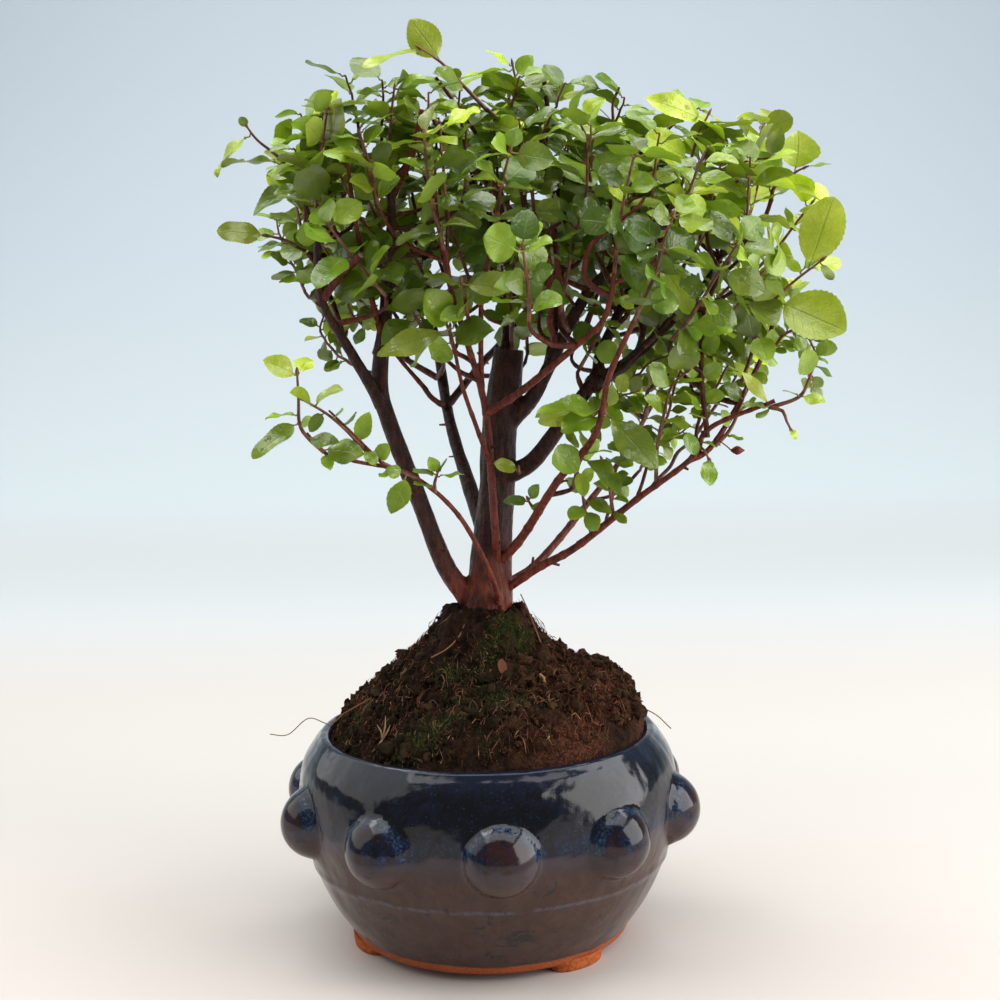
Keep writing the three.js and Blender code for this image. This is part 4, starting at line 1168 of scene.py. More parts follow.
def outer_wall():
    """Radii and heights of the wall from the foot to the lip."""
    line, _ = smooth_line([(*point, 0) for point in POT_WALL], 0.2)
    heights = np.arange(*POT_WALL_HEIGHTS)
    return np.interp(heights, line[:, 1], line[:, 0]), heights


def knob_columns():
    """Angles round the pot, closer together across each knob."""
    sector = 360 / KNOB_COUNT
    near = np.linspace(-KNOB_SPAN, KNOB_SPAN, KNOB_COLUMNS)
    far = np.linspace(KNOB_SPAN, sector - KNOB_SPAN, GAP_COLUMNS)[1:-1]
    one = np.concatenate([near, far])
    return np.radians(np.concatenate([KNOB_PHASE + sector * k + one for k in range(KNOB_COUNT)]))


def around(angle, radius):
    """Clockwise seen from above, from the front."""
    return np.stack([radius * np.sin(angle), -radius * np.cos(angle)], axis=-1)


def make_pot(glaze, clay):
    rows, first, last = pot_rows()
    angles = knob_columns()
    radius = np.repeat(rows[:, 0][:, None], len(angles), axis=1)
    height = np.repeat(rows[:, 1][:, None], len(angles), axis=1)
    sector = math.radians(360 / KNOB_COUNT)
    off = (angles - math.radians(KNOB_PHASE) + sector / 2) % sector - sector / 2
    wall = slice(first, last)
    reach = KNOB_RADIUS**2 - (height[wall] - KNOB_HEIGHT) ** 2 - (KNOB_CIRCLE * np.sin(off)) ** 2
    ball = KNOB_CIRCLE * np.cos(off) + np.sign(reach) * np.sqrt(np.abs(reach))
    plain = radius[wall].copy()
    both = np.maximum(plain, ball)
    blend = KNOB_FILLET * np.exp(-np.abs(plain - ball) / KNOB_FILLET) * 0.5
    radius[wall] = both + blend
    ring = RING_HEIGHT + RING_WANDER * np.sin(angles + 1.0)
    radius[wall] += RING_RISE * np.exp(-(((height[wall] - ring) / RING_WIDTH) ** 2))
    knob = np.zeros_like(radius)
    knob[wall] = np.clip((ball - plain) / KNOB_FADE, 0, 1)
    edge = np.zeros_like(radius)
    edge[wall] = np.exp(-(((ball - plain - KNOB_EDGE) / KNOB_EDGE_WIDTH) ** 2))
    flat = np.dstack([around(angles[None, :], radius), height]).reshape(-1, 3)
    swell = POT_SWELL[0] * rough(flat, POT_SWELL[1])
    swell[(knob.ravel() < 0.02) & (height.ravel() < 3)] = 0
    out = around(angles[None, :], np.ones_like(radius))
    flat[:, :2] += swell[:, None] * out.reshape(-1, 2)
    line = waves(flat, GLAZE_WAVES, GLAZE_LINE)
    upper = np.clip((flat[:, 2] - line) / 1.0 + 0.5, 0, 1)
    inside = np.zeros_like(radius, bool)
    inside[last + LIP_OUTER_ROWS :] = True
    upper[inside.ravel()] = INSIDE_GLAZE
    tint = np.stack([upper, knob.ravel(), edge.ravel(), np.ones(len(flat))], axis=1)
    quads = grid_faces(len(rows), len(angles), ring=True)
    top = np.arange(len(angles)) + (len(rows) - 1) * len(angles)
    first_ring = np.arange(len(angles))
    seam = np.stack([top, np.roll(top, -1), np.roll(first_ring, -1), first_ring], axis=1)
    shape = Shape()
    shape.add(flat, [quads, seam], tint=tint)
    for degrees in FOOT_ANGLES:
        add_foot(shape, math.radians(degrees))
    pot = shape.piece("pot_glazed", [glaze, clay])
    settle(pot, "glaze", "pot")


def add_foot(shape, angle):
    """A low oval pad with rounded edges."""
    turn = turns(FOOT_SIDES)[:, None]
    along = np.array([math.cos(angle), math.sin(angle)])
    out = np.array([math.sin(angle), -math.cos(angle)])
    centre = around(np.array(angle), FOOT_CIRCLE)
    rings = []
    for scale, height in FOOT_PROFILE:
        spread = FOOT_HALF_LENGTH * scale * np.cos(turn) * along
        spread = spread + FOOT_HALF_WIDTH * scale * np.sin(turn) * out
        rings.append(np.column_stack([centre + spread, np.full(FOOT_SIDES, height)]))
    shape.add(*closed(rings, [[*centre, 0.0], [*centre, FOOT_HEIGHT]], turned=True), slot=1)


# Soil


def mound_height(x, y):
    radius = np.hypot(x, y)
    angle = np.arctan2(y, x)
    line = sorted(SOIL_MOUND)
    height = np.interp(radius, [0] + [p[0] for p in line], [SOIL_TOP] + [p[1] for p in line])
    toward_right = np.maximum(0, np.cos(angle + 0.35))
    edge = np.exp(-(((radius - SOIL_EDGE_DISTANCE) / SOIL_EDGE_WIDTH) ** 2))
    return height + SOIL_EDGE_RISE * toward_right * edge


def soil_marks(points):
    """Moss, red peat and dry crumbs, from 0 to 1 at each point."""
    moss = 0.9 * rough(points, 9.0, 2, 3.0)
    for x, y, z, size in MOSS_PATCHES:
        away = np.linalg.norm(points[:, :3] - [x, y, z], axis=1) / size
        moss = moss + 0.85 * np.exp(-(away**2))
    moss = np.clip(1.3 * (moss - 0.25), 0, 1)
    red = np.clip((points[:, 0] - 6) / 25, 0, 1) * np.clip(0.6 + rough(points, 16.0, 2, 9.0), 0, 1)
    dry = np.clip(4 * (rough(points, 3.5, 2, 21.0) - 0.62), 0, 1) * 0.6
    return np.stack([moss, red, dry, np.ones(len(points))], axis=1)


def make_soil(material):
    turn = turns(SOIL_SIDES)

    def level(radius, height):
        flat = [radius * np.cos(turn), radius * np.sin(turn)]
        return np.column_stack([*flat, np.full(SOIL_SIDES, height)])

    radii = np.linspace(SOIL_HOLE, SOIL_RADIUS, SOIL_RINGS)[:, None]
    x, y = radii * np.cos(turn), radii * np.sin(turn)
    top = np.dstack([x, y, mound_height(x, y)]).reshape(-1, 3)
    lumps = waves(top, SOIL_LUMPS)
    top[:, 2] += lumps * np.clip((SOIL_RADIUS - np.hypot(top[:, 0], top[:, 1])) / 2.5, 0.25, 1)
    rings = [level(SOIL_HOLE, STUMP_BOTTOM), *top.reshape(SOIL_RINGS, SOIL_SIDES, 3)]
    rings += [level(radius, height) for radius, height in SOIL_WALL]
    points, faces = closed(rings, [[0, 0, STUMP_BOTTOM], [0, 0, SOIL_WALL[-1][1]]], turned=True)
    shape = Shape()
    shape.add(points, faces, tint=soil_marks(points))
    settle(shape.piece("soil_mound", [material]), "soil", "soil")


def icosahedron():
    g = (1 + 5**0.5) / 2
    points = [
        (-1, g, 0), (1, g, 0), (-1, -g, 0), (1, -g, 0), (0, -1, g), (0, 1, g),
        (0, -1, -g), (0, 1, -g), (g, 0, -1), (g, 0, 1), (-g, 0, -1), (-g, 0, 1),
    ]
    faces = [
        (0, 11, 5), (0, 5, 1), (0, 1, 7), (0, 7, 10), (0, 10, 11), (1, 5, 9), (5, 11, 4),
        (11, 10, 2), (10, 7, 6), (7, 1, 8), (3, 9, 4), (3, 4, 2), (3, 2, 6), (3, 6, 8),
        (3, 8, 9), (4, 9, 5), (2, 4, 11), (6, 2, 10), (8, 6, 7), (9, 8, 1),
    ]
    return np.array(points, float) / math.hypot(1, g), np.array(faces)


def divided(points, faces):
    """Each triangle cut in four, its new points pushed out to the unit ball."""
    points = list(map(tuple, points))
    known = {}
    out = []

    def middle(a, b):
        key = (min(a, b), max(a, b))
        if key not in known:
            points.append(tuple(unit(np.array(points[a]) + np.array(points[b]))))
            known[key] = len(points) - 1
        return known[key]

    for a, b, c in faces:
        ab, bc, ca = middle(a, b), middle(b, c), middle(c, a)
        out += [(a, ab, ca), (b, bc, ab), (c, ca, bc), (ab, bc, ca)]
    return np.array(points), np.array(out)


def on_mound(rng, inner=11.0, outer=51.0):
    radius = inner + (outer - inner) * rng.random() ** 0.42
    angle = rng.uniform(0, 2 * math.pi)
    x, y = radius * math.cos(angle), radius * math.sin(angle)
    return np.array([x, y, float(mound_height(np.array(x), np.array(y)))])


def make_crumbs(material):
    """Crumbs of peat that lie on the mound: many small ones, and lumps that stand out of its outline."""
    rng = np.random.default_rng(SEEDS["crumbs"])
    balls = {"plain": icosahedron()}
    balls["fine"] = divided(*balls["plain"])
    shape = Shape()
    for kind, count, low, high in CRUMBS:
        ball, faces = balls[kind]
        for _ in range(count):
            centre = on_mound(rng)
            size = low + (high - low) * rng.random() ** 1.8
            stretch = size * rng.uniform(0.5, 1.3, 3)
            lumps = 1 + 0.28 * rng.standard_normal(len(ball))[:, None]
            points = centre + ball * lumps * stretch + [0, 0, rng.uniform(0.1, 0.7) * size]
            red = rng.random() * (centre[0] > 5)
            tint = np.array([0.3 * rng.random(), red, 0.25 * rng.random() ** 3, 1])
            shape.add(points, [faces], tint=tint)
    settle(shape.piece("soil_crumbs", [material], smooth=False), "soil")


def make_moss(material):
    """A low carpet of short pointed blades, in patches on the mound."""
    rng = np.random.default_rng(SEEDS["moss"])
    shape = Shape()
    tuft = 0
    while tuft < MOSS_TUFTS:
        centre = on_mound(rng, 10.5, 49)
        if soil_marks(centre[None, :])[0, 0] < 0.15 + 0.75 * rng.random():
            continue
        tuft += 1
        for _ in range(TUFT_BLADES):
            foot = centre + [*rng.normal(0, 1.7, 2), 0]
            foot[2] = float(mound_height(foot[0], foot[1])) + rng.uniform(-0.6, 0.9)
            lean = unit(np.array([*rng.normal(0, 0.6, 2), 1.0]))
            tip = foot + rng.uniform(0.5, 1.3) * lean
            points = [*three_corners(foot, lean, BLADE_RADIUS), tip]
            shape.add(points, [[(0, 2, 1), (0, 1, 3), (1, 2, 3), (2, 0, 3)]])
    settle(shape.piece("moss", [material], smooth=False), "soil")


def make_fibres(material):
    """Hair roots: a few long ones, and many short ones lying on the peat."""
    rng = np.random.default_rng(SEEDS["roots"])
    shape = Shape()
    for points, radius in HAIR_ROOTS.values():
        line, _ = smooth_line(points, 1.2)
        shape.add(*tube(line, radius, 5), tint=(0.6, 0.35, 0, 1))
    for _ in range(SHORT_ROOTS):
        here = on_mound(rng, 12, 50)
        heading = rng.uniform(0, 2 * math.pi)
        line = []
        for k in range(rng.integers(4, 8)):
            heading += rng.normal(0, 0.6)
            here = here + 1.3 * np.array([math.cos(heading), math.sin(heading), 0])
            if math.hypot(here[0], here[1]) > 51:
                break
            lift = 1.0 + 0.9 * math.sin(1.3 * k + heading)
            line.append([here[0], here[1], float(mound_height(here[0], here[1])) + lift])
        if len(line) > 3:
            fine, _ = smooth_line(line, 1.2)
            mark = (rng.random(), 0.8 * rng.random() ** 2, 0, 1)
            shape.add(*tube(fine, rng.uniform(0.05, 0.13), 3), tint=mark)
    settle(shape.piece("hair_roots", [material]), "soil")


def make_litter(material):
    """Slivers of peat fibre, three-sided and pointed, that lie all over the mound."""
    rng = np.random.default_rng(SEEDS["slivers"])
    shape = Shape()
    faces = [(0, 2, 1), (0, 3, 2), (0, 1, 3), (4, 1, 2), (4, 2, 3), (4, 3, 1)]
    for _ in range(SLIVERS):
        here = on_mound(rng, 9.5, 51.5)
        heading = rng.uniform(0, 2 * math.pi)
        length = rng.uniform(1.2, 5.0) * rng.uniform(0.5, 1)
        ahead = here[:2] + length * np.array([math.cos(heading), math.sin(heading)])
        if math.hypot(*ahead) > 52:
            continue
        end = np.array([*ahead, float(mound_height(*ahead)) + rng.uniform(-0.4, 2.8)])
        start = here + [0, 0, rng.uniform(-0.6, 1.3)]
        radius = rng.uniform(0.07, 0.2)
        bend = 0.5 * (start + end) + rng.normal(0, 0.12 * length, 3)
        points = [start, *three_corners(bend, unit(end - start), radius), end]
        right = np.clip((here[0] + 10) / 45, 0.15, 1)
        red = 1.0 * (rng.random() < RED_SLIVERS * right) * rng.uniform(0.5, 1)
        tan = 1.0 * (rng.random() < TAN_SLIVERS) * rng.uniform(0.3, 1)
        shape.add(points, [faces], tint=(red, tan, 0, 1))
    add_debris(shape)
    settle(shape.piece("peat_slivers", [material]), "soil")


def add_debris(shape):
    """A dry leaf, a fallen bud and a straw-coloured scrap of root."""
    sides = 14
    turn = turns(sides)
    reach = np.outer(np.sin(turn), [0.5, -0.9, -2.3]) + np.outer(np.cos(turn), [1.4, 0.3, 0.2])
    rim = np.array([5.6, -26.6, 95.0]) + reach + np.outer(0.4 * np.cos(turn) ** 2, [0, -1, 0.4])
    middle = rim.mean(axis=0)
    faces = np.concatenate([fan(sides, 0, sides), fan(sides + 1, 0, sides, turned=True)])
    shape.add([*rim, middle, middle + [0, 0.4, 0]], [faces], tint=(0.5, 0.07, 0, 1))
    shape.add(*tube(FALLEN_BUD, [0.4, 0.9, 0.5], 6), tint=(0.2, 0.75, 0, 1))
    foot = np.array(SCRAP_FOOT)
    for tip in SCRAP_TIPS:
        twig = np.array([foot, 0.5 * (foot + tip) + [0.4, -0.5, 0.4], tip])
        shape.add(*tube(twig, [0.34, 0.26, 0.1], 5), tint=(0.3, 0.8, 0, 1))


# Trunk, limbs and twigs


def limb_radii(line, ends):
    """A little under the CAD's faceted limbs, as bark round the same line."""
    return (THIN_LIMB_SLIM if ends[0] < THIN_LIMB else LIMB_SLIM) * taper(line, ends)


def thick_wood():
    """The trunk and the thick limbs as overlapping tubes, which make_wood fuses and roughens."""
    shape = Shape()
    line, where = smooth_line(TRUNK, 3.0)
    shape.add(*tube(line, np.interp(where, np.arange(len(TRUNK)), TRUNK_RADII), 28))
    for points, ends in LIMBS.values():
        if ends[0] < THICK_LIMB:
            continue
        line, where = smooth_line(points, 2.5)
        radii = limb_radii(line, ends)
        collar = 0.30 * ends[0] * np.exp(-np.linspace(0, 1, len(line)) * 14)
        shape.add(*tube(line, radii + collar, 14))
    return shape


def fuse(piece, voxel):
    """One closed skin over overlapping parts."""
    piece.data.remesh_voxel_size = voxel / 1000
    piece.data.remesh_voxel_adaptivity = 0.0
    bpy.context.view_layer.objects.active = piece
    for other in bpy.context.selected_objects:
        other.select_set(False)
    piece.select_set(True)
    bpy.ops.object.voxel_remesh()
    piece.select_set(False)


def make_wood(bark):
    wood = thick_wood().piece("tree_limbs", [bark])
    fuse(wood, WOOD_VOXEL)
    mesh = wood.data
    count = len(mesh.vertices)
    points = np.empty(count * 3)
    normals = np.empty(count * 3)
    mesh.vertices.foreach_get("co", points)
    mesh.vertices.foreach_get("normal", normals)
    points = points.reshape(-1, 3) * 1000 - POT_AXIS
    normals = normals.reshape(-1, 3)
    stretched = points * [1, 1, 0.3]
    fissures = rough(stretched, 2.6, 2)
    swell = rough(points, 11.0, 1, 4.0)
    trunk = np.clip((8 - np.hypot(points[:, 0] - 4, points[:, 1])) / 3, 0, 1)
    depth = 0.14 + 0.26 * trunk
    points += normals * (depth * fissures + 0.20 * swell - 0.12)[:, None]
    mesh.vertices.foreach_set("co", place(points).ravel())
    mesh.polygons.foreach_set("use_smooth", np.ones(len(mesh.polygons), bool))
    mesh.update()
    mark = mesh.color_attributes.get("tint")
    if mark:
        mesh.color_attributes.remove(mark)
    mark = mesh.color_attributes.new(name="tint", type="FLOAT_COLOR", domain="POINT")
    front = np.clip((-6 - points[:, 1]) / 6, 0, 1) * np.clip(1 - np.abs(points[:, 0] - 3) / 9, 0, 1)
    nothing = np.zeros(count)
    tint = np.stack([0.85 * front, nothing, nothing, np.ones(count)], axis=1)
    mark.data.foreach_set("color", tint.ravel())
    settle(wood, "bark", "tree")


def twig_tube(shape, line, radii, sides, young, rng):
    """A thin limb with slight knots where leaves have been."""
    gap = rng.uniform(6, 8.5)
    knots = 0.16 * np.exp(-(((run_lengths(line) % gap) - gap / 2) ** 2) / 0.5)
    shape.add(*tube(line, radii * (1 + knots), sides), tint=(young, 0, 0, 1))


def add_stub(shape, points, ends, rng):
    """A pruned branch that ends in a flat cut of pale wood."""
    line, _ = smooth_line(points, 1.6)
    twig_tube(shape, line, taper(line, ends), 9, rng.uniform(0.4, 0.9), rng)
    along = unit(line[-1] - line[-2])
    face = line[-1] + np.outer([-0.1, 0.06], along)
    shape.add(*tube(face, 0.9 * ends[1], 9), tint=(0.5, 1, 0, 1))


def add_nubs(shape, rng):
    """Short pegs on the limbs, where twigs have broken off."""
    limbs = list(LIMBS.values())
    for _ in range(NUBS):
        points, ends = limbs[rng.integers(len(limbs))]
        line, _ = smooth_line(points, 2.0)
        k = rng.integers(1, len(line) - 1)
        along = unit(line[k + 1] - line[k - 1])
        side = rng.normal(0, 1, 3)
        side = unit(side - side.dot(along) * along + 0.6 * along)
        root = taper(line, ends)[k]
        length = root + rng.uniform(0.4, 1.1) * min(root, 2.2)
        peg = line[k] + np.outer([0, 0.5, 1.0], length * side)
        radii = rng.uniform(0.35, 0.6) * np.array([1.2, 0.9, 0.65])
        shape.add(*tube(peg, radii, 6), tint=(0.4, 0, 0, 1))


def bent_twig(foot, bend, seat, rng):
    steps = max(4, int(np.linalg.norm(seat - foot) / 5))
    t = np.linspace(0, 1, steps)[:, None]
    line = (1 - t) ** 2 * foot + 2 * t * (1 - t) * bend + t**2 * seat
    return smooth_line(line + np.sin(math.pi * t) * rng.normal(0, 0.35, line.shape), 1.8)[0]


@cache
def limb_points():
    return np.concatenate([smooth_line(points, 1.0)[0] for points, _ in LIMBS.values()])


def off_limbs(point):
    """How far a point is from the nearest limb's line."""
    return np.min(np.linalg.norm(limb_points() - point, axis=1))


def carry(shape, start, ahead, radius, places, rng):
    """A twig from the nearest limb to where a stem starts, if the stem doesn't start on one."""
    start, ahead = np.array(start, float), np.array(ahead, float)
    if off_limbs(start) < JOIN_REACH:
        return
    gaps = start - np.array(places)
    reaches = np.linalg.norm(gaps, axis=1)
    straight = gaps @ unit(ahead - start) / reaches
    foot = places[int(np.argmin(reaches * (1.7 - straight)))]
    bend = start - 0.4 * np.linalg.norm(foot - start) * unit(ahead - start)
    line = bent_twig(foot, bend, start, rng)
    radii = np.linspace(1.15 * radius, radius, len(line))
    twig_tube(shape, line, radii, 7, rng.uniform(0.2, 0.8), rng)


def make_twigs(shoots, bark):
    """Thin limbs, twigs to every shoot, stubs, broken pegs and one red bud."""
    rng = np.random.default_rng(SEEDS["twigs"])
    shape = Shape()
    for name, (points, ends) in LIMBS.items():
        if ends[0] >= THICK_LIMB:
            continue
        line, _ = smooth_line(points, 1.5)
        young = RED_LIMB if name.startswith(RED_LIMBS) else rng.uniform(0.1, 0.5)
        twig_tube(shape, line, limb_radii(line, ends), 10, young, rng)
    replaced = len(LIMB_END_SHOOTS) + len(PLACED_SHOOTS)
    for shoot in shoots[replaced:]:
        line = bent_twig(*shoot["twig"], rng)
        twig_tube(shape, line, np.linspace(*TWIG_RADII, len(line)), 7, rng.uniform(*TWIG_SHADES), rng)
    places = limb_places()
    for stem, _ in SPRAYS.values():
        carry(shape, stem[0], stem[1], SPRAY_TWIG, places, rng)
    for points, _ in [*SPRIGS.values(), *TOP_SPRIGS.values(), *top_row()]:
        carry(shape, points[0], points[1], SPRIG_TWIG, places, rng)
    for points, ends in STUBS.values():
        carry(shape, points[0], points[1], ends[0], places, rng)
        add_stub(shape, points, ends, rng)
    for points, radius in FRONT_TWIGS.values():
        carry(shape, points[0], points[1], radius, places, rng)
        line, _ = smooth_line(points, 1.6)
        twig_tube(shape, line, taper(line, (radius, 0.5 * radius)), 8, 0.9, rng)
    add_nubs(shape, rng)
    stalk, _ = smooth_line(BUD_STALK, 1.0)
    shape.add(*tube(stalk, 0.22, 5), tint=(0.6, 0, 0, 1))
    bud = np.array(BUD_STALK[-1]) + np.outer(np.linspace(0, 1, 6), np.subtract(BUD_TIP, BUD_STALK[-1]))
    shape.add(*tube(bud, [0.4, 1.0, 1.45, 1.25, 0.7, 0.1], 9), tint=(1.0, 0, 0, 1))
    settle(shape.piece("tree_twigs", [bark]), "bark", "tree")


# Leafy shoots


def limb_places():
    places = []
    for points, _ in LIMBS.values():
        points = np.array(points, float)
        for a, b in zip(points[:-1], points[1:]):
            places += [a + (b - a) * k / 4 for k in range(4)]
    return places


def twig_foot(seat, places):
    spots = np.array(places)
    above = np.maximum(0, spots[:, 2] - seat[2] + TWIG_START_BELOW)
    cost = np.linalg.norm(spots - seat, axis=1) + TWIG_HIGH_START * above
    return spots[int(np.argmin(cost))]


def inside_crown(point, bottom):
    across = (point[0] - CROWN_MIDDLE) / CROWN_HALF_WIDTH
    deep = point[1] / CROWN_HALF_DEPTH
    if across * across + deep * deep > 1:
        return False
    rounding = CROWN_ROUNDING * deep * deep
    top = along_line(CROWN_TOP, point[0]) - rounding
    return along_line(bottom, point[0]) + rounding < point[2] < top


def shoot_length(pairs):
    return STEM_STEP * (pairs - 0.3)


def shoot_of(seat, toward, pairs, leaf, full, twig=()):
    return {"seat": seat, "toward": toward, "pairs": pairs, "leaf": leaf, "full": full, "twig": twig}


def plan_shoots():
    """Every leafy shoot by the CAD's rule, then those that fill the crown between them."""
    shoots = []
    for limb, (pairs, leaf) in LIMB_END_SHOOTS.items():
        before, seat = (np.array(p, float) for p in LIMBS[limb][0][-2:])
        shoots.append(shoot_of(seat, unit(seat - before), pairs, leaf, pairs > 2, None))
    for seat, toward, pairs, leaf in PLACED_SHOOTS.values():
        shoots.append(shoot_of(np.array(seat, float), unit(np.array(toward, float)), pairs, leaf, False))
    draw = random_run(SEEDS["crown"])
    middles = [s["seat"] + s["toward"] * SHOOT_MIDDLE * shoot_length(s["pairs"]) for s in shoots]
    for count in range(CROWN_SHOOTS + FILL_SHOOTS):
        fill = count >= CROWN_SHOOTS
        depth = FILL_DEPTH if fill else (-CROWN_HALF_DEPTH, CROWN_HALF_DEPTH)
        heights = FILL_HEIGHTS if fill else CROWN_HEIGHTS
        bottom = FILL_BOTTOM if fill else CROWN_BOTTOM
        best, clearest = None, -1
        for _ in range(CROWN_TRIES):
            x = CROWN_MIDDLE + between((-CROWN_HALF_WIDTH, CROWN_HALF_WIDTH), draw)
            y = between(depth, draw)
            point = np.array([x, y, between(heights, draw)])
            room = np.min(np.linalg.norm(np.array(middles) - point, axis=1))
            if room > clearest and inside_crown(point, bottom):
                clearest, best = room, point
        toward = unit(best - HEART)
        toward[2] += CROWN_LIFT
        toward = unit(toward)
        pairs = 3 + int(1.6 * draw())
        seat = best - toward * SHOOT_MIDDLE * shoot_length(pairs)
        middles.append(best)
        leaf = between(FILL_LEAF, draw) if fill else CROWN_LEAF
        shoots.append(shoot_of(seat, toward, pairs, leaf, True))
    places = limb_places()
    for shoot in shoots:
        if shoot["twig"] is None:
            continue
        foot = twig_foot(shoot["seat"], places)
        reach = np.linalg.norm(foot - shoot["seat"])
        shoot["twig"] = (foot, shoot["seat"] - TWIG_BEND * reach * shoot["toward"], shoot["seat"])
    return shoots


def leaf_pose(out, along, spot, draw):
    """A leaf points out from the stem and to one side of it, and faces the light."""
    direction = out + between(LEAF_LEAN, draw) * along
    direction = direction - between(LEAF_HANG, draw) * UP
    direction = unit(direction + between(LEAF_SWING, draw) * np.cross(along, out))
    outward = unit(np.array([spot[0] - HEART[0], spot[1] - HEART[1], 0]))
    light = LIGHT_OUTWARD * outward + LIGHT_HEIGHT * UP
    light += [between(LIGHT_SCATTER, draw) for _ in range(3)]
    return direction, square_to(light, direction)


def turned(vector, axis, angle):
    turn = Matrix.Rotation(angle, 3, Vector(axis))
    return np.array(turn @ Vector(vector))


Leaf = namedtuple("Leaf", "centre out direction normal length axis extra width")


def grow_shoot(shoot, index):
    """The stem's line and each leaf's place, way, face and length, by the CAD's rule."""
    draw = random_run((SHOOT_RUN[0] + SHOOT_RUN[1] * index) % RUN_SIZE)
    along = shoot["toward"].copy()
    across = across_of(along)
    spot = shoot["seat"] + SEAT_GAP * along
    stem, knots, leaves = [shoot["seat"] - 0.8 * along], [], []
    for k in range(shoot["pairs"]):
        along[0] += between(STEM_SWAY, draw)
        along[1] += between(STEM_SWAY, draw)
        along[2] += STEM_RISE
        along = unit(along)
        step = STEM_STEP * (STEM_FIRST_STEP if k == 0 else between(STEM_STEPS, draw))
        spot = spot + step * along
        across = turned(across, along, between(STEM_TURN, draw))
        across = square_to(across, along)
        low = spot
        spot = spot + 2 * STEM_HALF * along
        stem.append(0.5 * (low + spot))
        knots.append((stem[-1], spot, along.copy(), across))
    for k, (centre, top, axis, side) in enumerate(knots):
        other = np.cross(axis, side)
        for turn, out in enumerate((other, -side, -other, side)):
            if (turn + k) % 2 == 0 or (shoot["full"] and draw() < MORE_LEAVES):
                pose = leaf_pose(out, axis, top, draw)
                length = shoot["leaf"] * between(LEAF_SIZES, draw)
                leaves.append(Leaf(centre, out, *pose, length, axis, (turn + k) % 2, None))
    centre, top, axis, side = knots[-1]
    out = unit(axis + side)
    pose = leaf_pose(out, axis, top, draw)
    length = TIP_LEAF * shoot["leaf"] * between(LEAF_SIZES, draw)
    leaves.append(Leaf(top, out, *pose, length, axis, 0, None))
    return np.array(stem), leaves


def leaf_outline(rows, blunt, low):
    """Half width of a broad blade along its length, 1 at its widest, with a finely toothed edge."""
    t = np.linspace(0, 1, rows)
    body = np.sin(np.pi * t**low) ** blunt
    point = 0.12 * np.sqrt(np.clip(1 - t, 0, 1)) * (t > 0.5)
    teeth = np.where(np.arange(rows) % 2 == 0, 0.98, 1.03)
    return t, np.maximum(np.maximum(body, point) * teeth, 0.03)


@cache
def blade_faces(rows):
    """Faces of a thin leaf: the two sides share the points of its edge."""
    long, wide = rows + 1, LEAF_COLUMNS + 1
    top = np.arange(long * wide).reshape(long, wide)
    low = top.copy()
    low[1:-1, 1:-1] = top.size + np.arange((long - 2) * (wide - 2)).reshape(long - 2, wide - 2)
    a, b, c, d = top[:-1, :-1], top[:-1, 1:], top[1:, 1:], top[1:, :-1]
    above = np.stack([a, b, c, d], axis=-1).reshape(-1, 4)
    a, b, c, d = low[:-1, :-1], low[:-1, 1:], low[1:, 1:], low[1:, :-1]
    below = np.stack([a, d, c, b], axis=-1).reshape(-1, 4)
    return above[:, ::-1], below[:, ::-1]


def add_drop(shape, centre, normal, radius):
    """A bead of water: a low dome."""
    side = across_of(normal)
    ring = circle(side, np.cross(normal, side), DROP_SIDES)
    rings = []
    for level in np.linspace(0, 1, DROP_RINGS + 1)[:-1]:
        out = radius * math.cos(0.5 * math.pi * level)
        up = DROP_HEIGHT * radius * math.sin(0.5 * math.pi * level)
        rings.append(centre + out * ring + up * normal)
    shape.add(*closed(rings, [centre, centre + DROP_HEIGHT * radius * normal]))


def wet_leaf(drops, grid, normal, length, rng):
    """One to three beads of water on the upper side of a blade."""
    rows, columns = grid.shape[:2]
    for _ in range(rng.integers(1, 5)):
        row = rng.integers(rows // 4, 4 * rows // 5)
        column = rng.integers(1, columns - 1)
        ahead = grid[row + 1, column] - grid[row - 1, column]
        side = grid[row, column + 1] - grid[row, column - 1]
        up = unit(np.cross(ahead, side))
        if up.dot(normal) < 0:
            up = -up
        add_drop(drops, grid[row, column] - 0.03 * up, up, length * rng.uniform(*DROP_SIZES))


